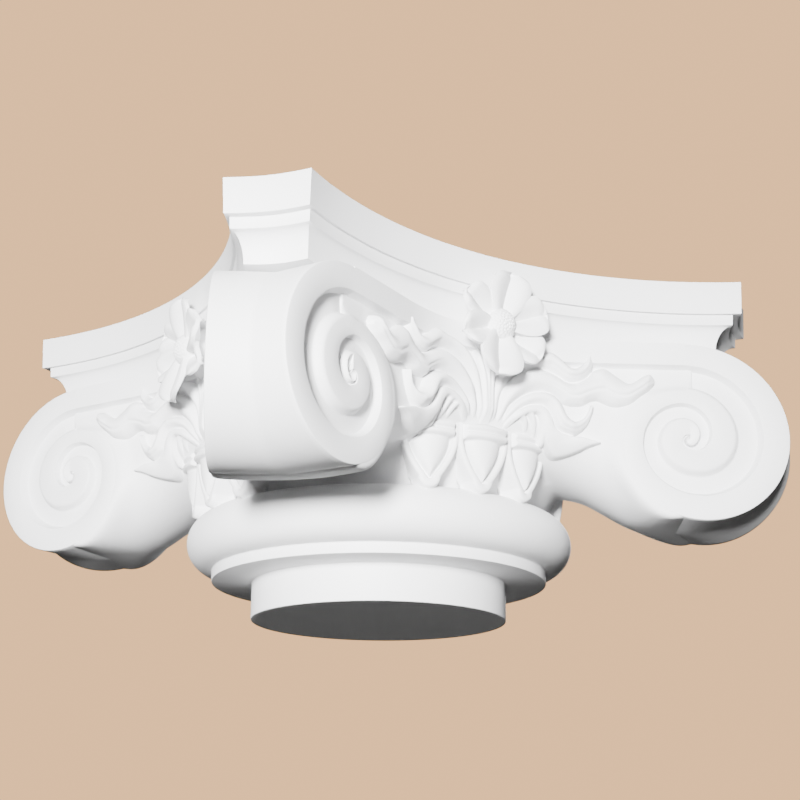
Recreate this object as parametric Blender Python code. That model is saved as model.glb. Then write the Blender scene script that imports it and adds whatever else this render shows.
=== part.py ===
"""Ionic column capital with four diagonal volutes, cast in one piece.

Metres, +Z up. The origin is the middle of the base. Each hollow side of the abacus faces an
axis, and the volutes stand on the diagonals. Every form is worked out on the side that faces
-Y, or on the corner between -X and -Y, and turned to the other three.
"""
import math

import bmesh
import bpy
from mathutils import Matrix, Vector

# Abacus: four hollow sides with cut corners
ABACUS_WIDTH = 0.500
SIDE_LENGTH = 0.406
SIDE_HOLLOW = 0.0655
CORNER_HOLLOW = 0.004
FASCIA_HEIGHT = 0.0282
FASCIA_DRAFT = 0.0015
SIDE_STEP = 0.0045
CORNER_STEP = 0.0085
BAND_HEIGHT = 0.0088
CAVETTO_HEIGHT = 0.0215
SIDE_CAVETTO = 0.0090
CORNER_CAVETTO = 0.0160

# Volutes: the eye of a face, the splay of its plane and its spiral
CAPITAL_HEIGHT = 0.271
EYE_DROP = 0.140
EYE_ALONG = 0.1556
EYE_OUT = 0.2301
FACE_SPLAY = math.radians(27.7)
FIRST_TURN = (0.0820, 0.0655, 0.0540)
SECOND_TURN = (0.0418, 0.0353, 0.0240, 0.0215)
EYE_TURN = (0.0130, 0.0080, 0.0055, 0.0040, 0.0030)
BAND_SHARE = 0.47
RELIEF_DEPTH = 0.0070
STEP_SHARE = 0.07
SLOPE_START = 0.58
CHANNEL_MIDDLE = 0.1725

# Bell, torus, fillet and the spigot that enters the column
SPIGOT_RADIUS = 0.109
SPIGOT_LENGTH = 0.031
FILLET_RADIUS = 0.1435
FILLET_HEIGHT = 0.0090
TORUS_RADIUS = 0.1655
TORUS_HEIGHT = 0.0455
NECK_RADIUS = 0.1370
BELL_RADIUS = 0.1570
BELL_FLARE = 0.0050

# Arms that join the bell to the volutes
ARM_NECK_DISTANCE = 0.145
ARM_NECK_HEIGHT = 0.107
ARM_END_DISTANCE = 0.2500
ARM_NECK_WIDTH = 0.112
ARM_COVER = 0.004

# Eggs in raised rims below two-ring bands
EGG_ANGLE = math.radians(16.2)
EGG_WIDTH = 0.036
EGG_HEIGHT = 0.0370
EGG_BOTTOM = 0.0895
EGG_PROUD = 0.0115
EGG_RIM_WIDTH = 0.0040
EGG_RIM_PROUD = 0.0050
COLLAR_HEIGHT = 0.0105
COLLAR_PROUD = 0.0125

# Leaves: height above the surface, and the route from root to tip. A place on a route is its
# distance from the middle of the side, its drop below the abacus and the leaf's half width there.
LEAF_SINK = 0.0180
LEAF_CROWN = 0.20
LEAVES = (
    (0.0100, ((0.009, 0.070, 0.003), (0.014, 0.043, 0.005), (0.030, 0.024, 0.007), (0.052, 0.018, 0.008),
              (0.068, 0.028, 0.006), (0.078, 0.028, 0.006), (0.087, 0.016, 0.002))),
    (0.0090, ((0.012, 0.070, 0.003), (0.022, 0.047, 0.006), (0.041, 0.036, 0.009), (0.060, 0.038, 0.010),
              (0.073, 0.044, 0.010), (0.088, 0.036, 0.012), (0.101, 0.040, 0.012), (0.113, 0.043, 0.008),
              (0.131, 0.033, 0.003))),
    (0.0090, ((0.015, 0.072, 0.003), (0.027, 0.058, 0.005), (0.045, 0.051, 0.007), (0.058, 0.061, 0.009),
              (0.067, 0.073, 0.008), (0.078, 0.071, 0.005), (0.086, 0.054, 0.002))),
    (0.0095, ((0.022, 0.072, 0.003), (0.040, 0.061, 0.004), (0.050, 0.068, 0.004), (0.055, 0.080, 0.007),
              (0.062, 0.090, 0.010), (0.073, 0.091, 0.006), (0.088, 0.087, 0.002))),
)
STALK_WIDTH = 0.024
STALK_PROUD = 0.0110

# Flower in the middle of each side
PETALS = 6
PETAL_LENGTH = 0.0425
PETAL_NOTCH = 0.50
PETAL_TURN = math.radians(10)
PETAL_LIFT = 0.0040
FLOWER_DROP = 0.058
FLOWER_PROUD = 0.0055
BUTTON_RADIUS = 0.0115
BUTTON_HEIGHT = 0.0065

# How far joined forms run into each other, and how finely round forms are divided
LAP = 0.0003
SIDE_DIVISIONS = 8
CORNER_DIVISIONS = 2
CAVETTO_DIVISIONS = 2
TURN_DIVISIONS = 16
SLOPE_DIVISIONS = 7
LATHE_DIVISIONS = 32
TORUS_DIVISIONS = 5
EGG_DIVISIONS = 8
PETAL_DIVISIONS = 4

# Share of the facets kept when those that lie in one plane are merged
FACETS_KEPT = 0.68

# Heights that follow from the sizes above
ABACUS_HEIGHT = FASCIA_HEIGHT + BAND_HEIGHT + CAVETTO_HEIGHT
CHANNEL_TOP = CAPITAL_HEIGHT - ABACUS_HEIGHT
EYE_HEIGHT = CAPITAL_HEIGHT - EYE_DROP
TOP_RADIUS = CHANNEL_TOP - EYE_HEIGHT
TURN_RADII = (TOP_RADIUS,) + FIRST_TURN + SECOND_TURN + EYE_TURN
CHANNEL_BAND = BAND_SHARE * (TOP_RADIUS - SECOND_TURN[0])
TORUS_TOP = SPIGOT_LENGTH + FILLET_HEIGHT + TORUS_HEIGHT
VOLUTE_BOTTOM = EYE_HEIGHT - FIRST_TURN[1]
COLLAR_BOTTOM = EGG_BOTTOM + EGG_HEIGHT - COLLAR_HEIGHT / 3
COLLAR_TOP = COLLAR_BOTTOM + COLLAR_HEIGHT
FLOWER_HEIGHT = CAPITAL_HEIGHT - FLOWER_DROP
FLOWER_OUT = ABACUS_WIDTH / 2 - SIDE_HOLLOW + FLOWER_PROUD


def clear_scene():
    """Remove what the scene holds."""
    for item in list(bpy.data.objects):
        bpy.data.objects.remove(item)


def smooth_curve(points, divisions):
    """Return points along a smooth curve through the given ones."""
    vectors = [Vector(point) for point in points]
    ends = [2 * vectors[0] - vectors[1]] + vectors + [2 * vectors[-1] - vectors[-2]]
    curve = []
    for index in range(divisions + 1):
        place = index / divisions * (len(vectors) - 1)
        first = min(int(place), len(vectors) - 2)
        t = place - first
        a, b, c, d = ends[first:first + 4]
        curve.append(0.5 * (2 * b + (c - a) * t + (2 * a - 5 * b + 4 * c - d) * t ** 2
                            + (3 * b - a - 3 * c + d) * t ** 3))
    return curve


def new_object(name, mesh):
    """Put the closed mesh in the scene with its faces pointing out."""
    bmesh.ops.recalc_face_normals(mesh, faces=mesh.faces)
    data = bpy.data.meshes.new(name)
    mesh.to_mesh(data)
    mesh.free()
    item = bpy.data.objects.new(name, data)
    bpy.context.collection.objects.link(item)
    return item


def loft(name, rings):
    """Return a closed solid through rings of as many points each."""
    mesh = bmesh.new()
    rows = [[mesh.verts.new(point) for point in ring] for ring in rings]
    for low, high in zip(rows, rows[1:]):
        for index in range(len(low)):
            after = (index + 1) % len(low)
            mesh.faces.new((low[index], low[after], high[after], high[index]))
    mesh.faces.new(rows[0])
    mesh.faces.new(rows[-1])
    mesh.normal_update()
    bmesh.ops.triangulate(mesh, faces=mesh.faces)
    return new_object(name, mesh)


def turned(points, quarter):
    """Return the points turned by quarters about the column's axis."""
    turn = Matrix.Rotation(quarter * math.pi / 2, 3, "Z")
    return [turn @ Vector(point) for point in points]


def mirrored(point):
    """Return the point's mirror image in the plane of the diagonal x = y."""
    return Vector((point.y, point.x, point.z))


def side_arc(side_inset, corner_inset):
    """Return the hollow side of the abacus that faces -Y, from corner to corner."""
    half = SIDE_LENGTH / 2
    radius = (half ** 2 + SIDE_HOLLOW ** 2) / (2 * SIDE_HOLLOW)
    centre = -(ABACUS_WIDTH / 2 - SIDE_HOLLOW + radius)
    radius += side_inset
    # the end lies where the arc meets the line of the cut corner
    reach = (ABACUS_WIDTH / 2 + half) / math.sqrt(2) - corner_inset
    across = Vector((1, -1)) / math.sqrt(2)
    base = Vector((-1, -1)) / math.sqrt(2) * reach - Vector((0, centre))
    along = base.dot(across)
    end = -along + math.sqrt(along ** 2 - base.dot(base) + radius ** 2)
    start = -along - math.sqrt(along ** 2 - base.dot(base) + radius ** 2)
    nearest = min(start, end, key=abs)
    tip = Vector((-1, -1)) / math.sqrt(2) * reach + nearest * across
    points = []
    for index in range(SIDE_DIVISIONS + 1):
        x = tip.x * (1 - 2 * index / SIDE_DIVISIONS)
        points.append(Vector((x, centre + math.sqrt(radius ** 2 - x ** 2))))
    return points


def abacus_ring(side_inset, corner_inset, height):
    """Return the outline of the abacus at one height."""
    side = side_arc(side_inset, corner_inset)
    start = side[-1]
    end = Vector((-start.y, -start.x))
    inward = Vector((-1, 1)) / math.sqrt(2)
    corner = []
    for index in range(1, CORNER_DIVISIONS + 1):
        t = index / (CORNER_DIVISIONS + 1)
        corner.append(start.lerp(end, t) + inward * CORNER_HOLLOW * math.sin(math.pi * t))
    quarter = [(point.x, point.y, height) for point in side + corner]
    return [point for turn in range(4) for point in turned(quarter, turn)]


def make_abacus():
    """Make the abacus: fascia, step, band and cavetto."""
    fascia = CAPITAL_HEIGHT - FASCIA_HEIGHT
    band = fascia - BAND_HEIGHT
    rings = [
        abacus_ring(0, 0, CAPITAL_HEIGHT),
        abacus_ring(FASCIA_DRAFT, FASCIA_DRAFT, fascia),
        abacus_ring(SIDE_STEP, CORNER_STEP, fascia + LAP),
    ]
    for index in range(CAVETTO_DIVISIONS + 1):
        angle = index / CAVETTO_DIVISIONS * math.pi / 2
        rings.append(abacus_ring(
            SIDE_STEP + SIDE_CAVETTO * math.sin(angle),
            CORNER_STEP + CORNER_CAVETTO * math.sin(angle),
            band - CAVETTO_HEIGHT * (1 - math.cos(angle)),
        ))
    return loft("abacus", rings)


def face_axes():
    """Return the outward direction and the normal of the volute face at the first corner."""
    outward = Vector((-math.cos(FACE_SPLAY), -math.sin(FACE_SPLAY), 0))
    normal = Vector((math.sin(FACE_SPLAY), -math.cos(FACE_SPLAY), 0))
    return outward, normal


def on_face(outwards, upwards, depth):
    """Return a point of the volute face, placed from its eye."""
    outward, normal = face_axes()
    eye = Vector((-EYE_ALONG, -EYE_OUT, EYE_HEIGHT))
    return eye + outwards * outward + Vector((0, 0, upwards)) - depth * normal


def channel_arc():
    """Return the middle, the radius and the half length of the channel's hollow part."""
    crossing = EYE_OUT - EYE_ALONG * math.tan(FACE_SPLAY)
    rise = math.tan(FACE_SPLAY) * math.sin(FACE_SPLAY) - (1 - math.cos(FACE_SPLAY))
    radius = (CHANNEL_MIDDLE - crossing) / rise
    return CHANNEL_MIDDLE + radius, radius, radius * math.sin(FACE_SPLAY)


def channel_point(along, depth):
    """Return the point of the channel face, a share of the way along the side, at a depth."""
    middle, radius, half = channel_arc()
    if abs(along) < half:
        angle = math.asin(along / radius)
        reach = radius + depth
        return Vector((reach * math.sin(angle), -middle + reach * math.cos(angle)))
    outward, normal = face_axes()
    start = Vector((-half, -middle + radius * math.cos(FACE_SPLAY), 0))
    point = start + outward * (abs(along) - half) / math.cos(FACE_SPLAY) - depth * normal
    return Vector((math.copysign(point.x, along), point.y))


def channel_normal(along):
    """Return the outward normal of the channel face at a place along the side."""
    middle, radius, half = channel_arc()
    angle = math.asin(max(-half, min(half, along)) / radius)
    return Vector((-math.sin(angle), -math.cos(angle), 0))


def cheek_ring(depth, height):
    """Return the outline of the cheeks between the volutes at a depth and a height."""
    side = [channel_point(EYE_ALONG * (2 * index / SIDE_DIVISIONS - 1), depth)
            for index in range(SIDE_DIVISIONS + 1)]
    quarter = [(point.x, point.y, height) for point in side]
    return [point for turn in range(4) for point in turned(quarter, turn)]


def channel_recess(height):
    """Return how far the channel floor draws back at a height, on its way down to the bell."""
    levels = ((COLLAR_TOP - 2 * COLLAR_PROUD, 5 * COLLAR_PROUD), (COLLAR_TOP, 2 * COLLAR_PROUD),
              (COLLAR_TOP + COLLAR_PROUD, COLLAR_PROUD / 2), (COLLAR_TOP + 2 * COLLAR_PROUD, 0))
    for (low, low_recess), (high, high_recess) in zip(levels, levels[1:]):
        if height < high:
            share = max(0, height - low) / (high - low)
            return low_recess + (high_recess - low_recess) * share
    return 0


def make_cheeks():
    """Make the cheeks: the flat band under the abacus and the sunk channel below it."""
    band_low = CHANNEL_TOP - CHANNEL_BAND
    sunk = RELIEF_DEPTH + LAP
    rings = [cheek_ring(LAP, CHANNEL_TOP + LAP), cheek_ring(LAP, band_low),
             cheek_ring(sunk, band_low - RELIEF_DEPTH / 3)]
    for steps in (2, 1, 0):
        height = COLLAR_TOP + steps * COLLAR_PROUD
        rings.append(cheek_ring(sunk + channel_recess(height), height))
    return loft("cheeks", rings)


def spiral_radius(turn):
    """Return the radius of the spiral's outer edge after a number of turns from the top."""
    place = turn * 4
    first = min(int(place), len(TURN_RADII) - 2)
    t = place - first
    before = TURN_RADII[max(first - 1, 0)]
    start, end = TURN_RADII[first], TURN_RADII[first + 1]
    after = TURN_RADII[min(first + 2, len(TURN_RADII) - 1)]
    return 0.5 * (2 * start + (end - before) * t + (2 * before - 5 * start + 4 * end - after) * t ** 2
                  + (3 * start - before - 3 * end + after) * t ** 3)


def to_valley(point):
    """Return the point pushed back from the face to the plane of the diagonal."""
    _, normal = face_axes()
    return point - (point.x - point.y) / (normal.x - normal.y) * normal


def relief_steps():
    """Return the face's profile from a turn's edge to the next, as (share, sunk share)."""
    return ((0, 0), (BAND_SHARE, 0), (BAND_SHARE + STEP_SHARE, 1), (1, 0))


def make_volute(quarter):
    """Make the volute of one corner: two spiral faces that meet in a valley round the rim."""
    mesh = bmesh.new()
    steps = relief_steps()
    last_row = len(steps) - 1
    last_column = 2 * TURN_DIVISIONS
    grid = {}
    for column in range(last_column + 1):
        angle = 2 * math.pi * column / TURN_DIVISIONS
        outer = spiral_radius(column / TURN_DIVISIONS)
        inner = spiral_radius(column / TURN_DIVISIONS + 1)
        depth = RELIEF_DEPTH * min(1, (outer - inner) / (TOP_RADIUS - SECOND_TURN[0]))
        for row, (share, sunk) in enumerate(steps):
            if row == 0 and (column - TURN_DIVISIONS, last_row) in grid:
                grid[column, row] = grid[column - TURN_DIVISIONS, last_row]
                continue
            radius = outer + (inner - outer) * share
            place = on_face(radius * math.sin(angle), radius * math.cos(angle), depth * sunk)
            grid[column, row] = place
    loop = [grid[column, 0] for column in range(TURN_DIVISIONS + 1)]
    loop += [grid[0, row] for row in range(last_row - 1, 0, -1)]
    inner_loop = [grid[column, last_row] for column in range(last_column - TURN_DIVISIONS, last_column)]
    inner_loop += [grid[last_column, row] for row in range(last_row, 0, -1)]
    turn = Matrix.Rotation(quarter * math.pi / 2, 3, "Z")

    def build(place_of):
        made = {}

        def vertex(point):
            key = point.to_tuple(7)
            if key not in made:
                made[key] = mesh.verts.new(turn @ place_of(point))
            return made[key]

        for column in range(last_column):
            for row in range(last_row):
                corners = [grid[column, row], grid[column + 1, row],
                           grid[column + 1, row + 1], grid[column, row + 1]]
                mesh.faces.new([vertex(corner) for corner in corners])
        pit = vertex(on_face(0, 0, RELIEF_DEPTH / 2))
        for start, end in zip(inner_loop, inner_loop[1:] + inner_loop[:1]):
            mesh.faces.new((vertex(start), vertex(end), pit))
        return [vertex(point) for point in loop]

    near = build(lambda point: point)
    far = build(mirrored)
    valley = [mesh.verts.new(turn @ to_valley(point)) for point in loop]
    for index in range(len(loop)):
        after = (index + 1) % len(loop)
        mesh.faces.new((near[index], near[after], valley[after], valley[index]))
        mesh.faces.new((far[index], far[after], valley[after], valley[index]))
    mesh.normal_update()
    bmesh.ops.triangulate(mesh, faces=mesh.faces)
    return new_object("volute", mesh)


def ease(t):
    """Return a share that starts and ends level."""
    return t * t * (3 - 2 * t)


def make_slope(quarter, place_of):
    """Make the slope from the channel floor up to a volute's edge, on the column's side."""
    full = (1 - BAND_SHARE - STEP_SHARE) * (TOP_RADIUS - SECOND_TURN[0])
    rings = []
    for index in range(SLOPE_DIVISIONS + 1):
        share = index / SLOPE_DIVISIONS
        turn = SLOPE_START + (1 - SLOPE_START) * share + LAP
        angle = 2 * math.pi * turn
        radius = spiral_radius(turn)
        low = radius + full * ease(min(1, 2 * share))
        depth = RELIEF_DEPTH + LAP + channel_recess(EYE_HEIGHT + low * math.cos(angle))
        rim, foot = (on_face(reach * math.sin(angle), reach * math.cos(angle), down)
                     for reach, down in ((radius - LAP, LAP), (low, depth)))
        ring = [rim, foot, to_valley(foot), to_valley(rim)]
        rings.append(turned([place_of(point) for point in ring], quarter))
    return loft("slope", rings)


def arm_end_half():
    """Return half the arm's width at its end, where it stays under the floor of both faces."""
    eye_distance = (EYE_ALONG + EYE_OUT) / math.sqrt(2)
    back = (eye_distance - ARM_END_DISTANCE) / math.cos(math.pi / 4 - FACE_SPLAY)
    point = on_face(-back, 0, RELIEF_DEPTH + ARM_COVER)
    return (point.x - point.y) / math.sqrt(2)


def make_arm(quarter):
    """Make the rounded arm that carries a volute from the bell."""
    outline = ((0, 0), (0.45, 0.03), (0.80, 0.16), (1, 0.42), (1, 0.80), (0.75, 1))
    top = CHANNEL_TOP - CHANNEL_BAND
    stations = (-0.4, 0, 0.25, 0.5, 0.75, 1)
    rings = []
    for station in stations:
        share = ease(max(station, 0))
        distance = ARM_NECK_DISTANCE + station * (ARM_END_DISTANCE - ARM_NECK_DISTANCE)
        bottom = ARM_NECK_HEIGHT + share * (VOLUTE_BOTTOM + LAP - ARM_NECK_HEIGHT)
        half = ARM_NECK_WIDTH / 2 * (1 - share) + arm_end_half() * share
        near = [(half * across, bottom + (top - bottom) * up) for across, up in outline]
        far = [(-across, up) for across, up in reversed(near) if across > 0]
        outward = Vector((-1, -1, 0)) / math.sqrt(2)
        sideways = Vector((1, -1, 0)) / math.sqrt(2)
        ring = [outward * distance + sideways * across + Vector((0, 0, up)) for across, up in near + far]
        rings.append(turned(ring, quarter))
    return loft("arm", rings)


def bell_profile():
    """Return the turned profile from the base up, as (radius, height)."""
    fillet_top = SPIGOT_LENGTH + FILLET_HEIGHT
    torus_radius = TORUS_HEIGHT / 2
    torus_centre = TORUS_RADIUS - torus_radius
    profile = [(SPIGOT_RADIUS, 0), (SPIGOT_RADIUS, SPIGOT_LENGTH), (FILLET_RADIUS, SPIGOT_LENGTH),
               (FILLET_RADIUS, fillet_top)]
    for index in range(TORUS_DIVISIONS + 1):
        angle = math.pi * (index / TORUS_DIVISIONS - 0.5)
        profile.append((torus_centre + torus_radius * math.cos(angle),
                        fillet_top + torus_radius * (1 + math.sin(angle))))
    profile.append((NECK_RADIUS, TORUS_TOP))
    curve = smooth_curve([(NECK_RADIUS, TORUS_TOP), (BELL_RADIUS, TORUS_TOP + 0.25 * (CHANNEL_TOP - TORUS_TOP)),
                          (BELL_RADIUS + BELL_FLARE, CHANNEL_TOP)], 2)
    profile += [(point.x, point.y) for point in curve[1:]]
    return profile


def bell_radius_at(height):
    """Return the bell's radius at a height above the torus."""
    profile = [point for point in bell_profile() if point[1] >= TORUS_TOP]
    for (low_radius, low), (high_radius, high) in zip(profile[1:], profile[2:]):
        if height <= high:
            return low_radius + (high_radius - low_radius) * max(height - low, 0) / (high - low)
    return profile[-1][0]


def make_bell():
    """Make the turned core: spigot, fillet, torus and bell."""
    rings = []
    for radius, height in bell_profile():
        rings.append([Vector((radius * math.cos(angle), radius * math.sin(angle), height))
                      for angle in (2 * math.pi * index / LATHE_DIVISIONS for index in range(LATHE_DIVISIONS))])
    top = [point + Vector((0, 0, BAND_HEIGHT)) for point in rings[-1]]
    return loft("bell", rings[:-1] + [top])


def on_bell(angle, height, proud):
    """Return a point over the bell, at an angle from the middle of the side that faces -Y."""
    radius = bell_radius_at(height) + proud
    return Vector((radius * math.sin(angle), -radius * math.cos(angle), height))


def make_egg(angle, quarter):
    """Make an egg inside its raised rim."""
    steps = ((0.60, 0.75 * EGG_PROUD), (1.0, 0))
    centre = EGG_BOTTOM + EGG_HEIGHT / 2
    half_width = EGG_WIDTH / 2 - EGG_RIM_WIDTH
    half_height = EGG_HEIGHT / 2 - EGG_RIM_WIDTH / 2
    rings = [(half_width * share, half_height * share, proud) for share, proud in steps]
    rings += [(half_width + EGG_RIM_WIDTH / 2, half_height + EGG_RIM_WIDTH / 2, EGG_RIM_PROUD),
              (half_width + EGG_RIM_WIDTH, half_height + EGG_RIM_WIDTH, -EGG_RIM_PROUD)]
    mesh = bmesh.new()
    turn = Matrix.Rotation(quarter * math.pi / 2, 3, "Z")
    rows = []
    for width, height, proud in rings:
        row = []
        for index in range(EGG_DIVISIONS):
            around = 2 * math.pi * index / EGG_DIVISIONS
            across = width * math.sin(around) * (0.80 + 0.20 * math.cos(around))
            up = centre + height * math.cos(around)
            row.append(mesh.verts.new(turn @ on_bell(angle + across / BELL_RADIUS, up, proud)))
        rows.append(row)
    for inner, outer in zip(rows, rows[1:]):
        for index in range(EGG_DIVISIONS):
            after = (index + 1) % EGG_DIVISIONS
            mesh.faces.new((inner[index], inner[after], outer[after], outer[index]))
    crown = mesh.verts.new(turn @ on_bell(angle, centre, EGG_PROUD))
    back = mesh.verts.new(turn @ on_bell(angle, centre, -2 * EGG_RIM_PROUD))
    for index in range(EGG_DIVISIONS):
        after = (index + 1) % EGG_DIVISIONS
        mesh.faces.new((crown, rows[0][index], rows[0][after]))
        mesh.faces.new((back, rows[-1][index], rows[-1][after]))
    mesh.normal_update()
    bmesh.ops.triangulate(mesh, faces=mesh.faces)
    return new_object("egg", mesh)


def make_collar(angle, quarter):
    """Make the two-ring band above an egg."""
    half = EGG_WIDTH / 2 / BELL_RADIUS * 0.94
    profile = ((0, -COLLAR_PROUD / 2), (0, COLLAR_PROUD), (0.5, COLLAR_PROUD * 0.8),
               (1, COLLAR_PROUD), (1, -COLLAR_PROUD / 2))
    rings = []
    for share in (-1, 0, 1):
        bow = COLLAR_PROUD * 0.25 * (1 - share ** 2) - COLLAR_PROUD * 0.2
        ring = [on_bell(angle + half * share, COLLAR_BOTTOM + COLLAR_HEIGHT * up, proud + bow)
                for up, proud in profile]
        rings.append(turned(ring, quarter))
    return loft("collar", rings)


def make_leaf(proud, route, side, quarter):
    """Make a leaf: a crowned blade laid along its route over the channel."""
    path = [Vector((along, CHANNEL_TOP - drop)) for along, drop, _ in route]
    rings = []
    for index, point in enumerate(path):
        ahead = path[min(index + 1, len(path) - 1)] - path[max(index - 1, 0)]
        across = Vector((-ahead.y, ahead.x)).normalized()
        width = route[index][-1]
        ring = []
        for place, lift in ((-1, -LEAF_SINK), (LEAF_CROWN, proud), (1, -LEAF_SINK)):
            spot = point + across * width * place
            if lift < 0:
                lift -= channel_recess(spot.y)
            surface = channel_point(side * spot.x, RELIEF_DEPTH)
            normal = channel_normal(side * spot.x)
            ring.append(Vector((surface.x, surface.y, spot.y)) + normal * lift)
        rings.append(turned(ring, quarter))
    return loft("leaf", rings)


def make_stalks(quarter):
    """Make the bundle of stalks that rises from the middle egg to the flower."""
    bottom = EGG_BOTTOM + EGG_HEIGHT
    levels = ((bottom, 0.45), ((bottom + FLOWER_HEIGHT) / 2, 0.5), (FLOWER_HEIGHT - PETAL_LENGTH / 2, 1))
    rings = []
    for height, share in levels:
        half = STALK_WIDTH / 2 * share
        ring = []
        for across, lift in ((-1, -LEAF_SINK), (-0.6, STALK_PROUD * 0.8), (0, STALK_PROUD),
                             (0.6, STALK_PROUD * 0.8), (1, -LEAF_SINK)):
            if lift < 0:
                lift -= channel_recess(height)
            surface = channel_point(half * across, RELIEF_DEPTH)
            ring.append(Vector((surface.x, surface.y - lift, height)))
        rings.append(turned(ring, quarter))
    return loft("stalks", rings)


def make_flower(quarter):
    """Make the flower: blunt petals round a button."""
    outline = []
    for index in range(PETALS * PETAL_DIVISIONS):
        share = index / PETAL_DIVISIONS
        reach = 1 - PETAL_NOTCH * abs(math.sin(math.pi * share)) ** 3
        outline.append((PETAL_TURN + 2 * math.pi * share / PETALS, reach))
    carried = CHANNEL_MIDDLE - RELIEF_DEPTH - LEAF_SINK
    levels = (
        (0.80 * PETAL_LENGTH, carried - FLOWER_OUT, True),
        (PETAL_LENGTH, -PETAL_LIFT, True),
        (0.62 * PETAL_LENGTH, PETAL_LIFT, True),
        (1.10 * BUTTON_RADIUS, 0, False),
        (0.70 * BUTTON_RADIUS, BUTTON_HEIGHT, False),
    )
    rings = []
    for radius, lift, petalled in levels:
        ring = []
        for angle, reach in outline:
            distance = radius * (reach if petalled else 1)
            ring.append(Vector((distance * math.sin(angle), -FLOWER_OUT - lift,
                                FLOWER_HEIGHT + distance * math.cos(angle))))
        rings.append(turned(ring, quarter))
    return loft("flower", rings)


def side_ornament(quarter):
    """Make the carving of one side: eggs, collars, leaves, stalks and the flower."""
    pieces = []
    for place in (-1, 0, 1):
        pieces.append(make_egg(place * EGG_ANGLE, quarter))
        pieces.append(make_collar(place * EGG_ANGLE, quarter))
    for proud, route in LEAVES:
        for side in (-1, 1):
            pieces.append(make_leaf(proud, route, side, quarter))
    pieces.append(make_stalks(quarter))
    pieces.append(make_flower(quarter))
    return pieces


def settle(body):
    """Turn what the body's modifiers make of it into its own mesh."""
    settled = bpy.data.meshes.new_from_object(body.evaluated_get(bpy.context.evaluated_depsgraph_get()))
    body.modifiers.clear()
    body.data = settled


def join(body, piece):
    """Grow the body by a closed piece that overlaps it, and remove the piece."""
    union = body.modifiers.new("union", "BOOLEAN")
    union.operation = "UNION"
    union.solver = "MANIFOLD"
    union.object = piece
    settle(body)
    bpy.data.objects.remove(piece)


def merge_facets(body):
    """Merge the small facets that the joins left in one plane."""
    merging = body.modifiers.new("merging", "DECIMATE")
    merging.decimate_type = "COLLAPSE"
    merging.ratio = FACETS_KEPT
    settle(body)


def casting_material():
    """Return the matt white of the casting."""
    material = bpy.data.materials.new("white casting")
    material.use_nodes = True
    shader = material.node_tree.nodes["Principled BSDF"]
    shader.inputs["Base Color"].default_value = (0.86, 0.86, 0.86, 1)
    shader.inputs["Roughness"].default_value = 0.55
    shader.inputs["Metallic"].default_value = 0
    return material


def main():
    """Make the capital as one solid."""
    clear_scene()
    capital = make_bell()
    capital.name = "capital"
    join(capital, make_cheeks())
    join(capital, make_abacus())
    for quarter in range(4):
        join(capital, make_arm(quarter))
        join(capital, make_volute(quarter))
        join(capital, make_slope(quarter, Vector))
        join(capital, make_slope(quarter, mirrored))
        for piece in side_ornament(quarter):
            join(capital, piece)
    merge_facets(capital)
    capital.data.name = "capital"
    capital.data.materials.clear()
    capital.data.materials.append(casting_material())
    capital.data.shade_smooth()
    capital.data.set_sharp_from_angle(angle=math.radians(35))


main()
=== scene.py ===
"""Looks of a cast Ionic column capital: fine surfaces, finish, light and camera.

Lengths are metres, +Z is up and the column's axis is Z. Each hollow side of the abacus faces an
axis of the frame, and the volutes stand on the diagonals. Every form is worked out on the side
that faces -Y, or on the corner between -X and -Y, and turned to the other three.
"""

import logging
import math
from collections.abc import Callable, Iterable, Sequence
from dataclasses import dataclass, field
from enum import Enum

import bmesh
import bpy
import numpy as np
from mathutils import Matrix, Vector


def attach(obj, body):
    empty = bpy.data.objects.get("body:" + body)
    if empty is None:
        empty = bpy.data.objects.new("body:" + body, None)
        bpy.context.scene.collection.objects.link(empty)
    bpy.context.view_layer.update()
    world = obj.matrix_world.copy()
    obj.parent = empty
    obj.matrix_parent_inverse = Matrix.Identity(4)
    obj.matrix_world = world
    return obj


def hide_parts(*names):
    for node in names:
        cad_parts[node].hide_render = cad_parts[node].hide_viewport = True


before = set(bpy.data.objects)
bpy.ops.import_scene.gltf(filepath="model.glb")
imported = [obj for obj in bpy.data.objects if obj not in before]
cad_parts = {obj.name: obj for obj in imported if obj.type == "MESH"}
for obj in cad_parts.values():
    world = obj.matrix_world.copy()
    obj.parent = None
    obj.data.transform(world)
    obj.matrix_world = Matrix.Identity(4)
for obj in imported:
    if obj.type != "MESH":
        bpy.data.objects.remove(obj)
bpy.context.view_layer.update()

LOG = logging.getLogger("capital")
NODE = "capital"
BODY = "root"
QUARTERS = 4
MM = 0.001

Pair = tuple[float, float]
Ring = list[Vector]
Faces = list[tuple[int, ...]]
Part = tuple[list[Vector], Faces]
Placing = Callable[[np.ndarray, np.ndarray, np.ndarray], np.ndarray]


def smoothstep(values: np.ndarray | float) -> np.ndarray | float:
    """Return shares eased so that they start and end level, held between 0 and 1."""
    held = np.clip(values, 0.0, 1.0)
    return held * held * (3 - 2 * held)


def eased(values: np.ndarray | float, run: Pair) -> np.ndarray | float:
    """Return how far values have come along a run, given as (start, length), as eased shares."""
    return smoothstep((values - run[0]) / run[1])


def catmull(points: Sequence[np.ndarray | float], t: float) -> np.ndarray | float:
    """Return the value a share t of the way from the second of four points to the third."""
    a, b, c, d = points
    return 0.5 * (2 * b + (c - a) * t + (2 * a - 5 * b + 4 * c - d) * t ** 2
                  + (3 * b - a - 3 * c + d) * t ** 3)


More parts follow.
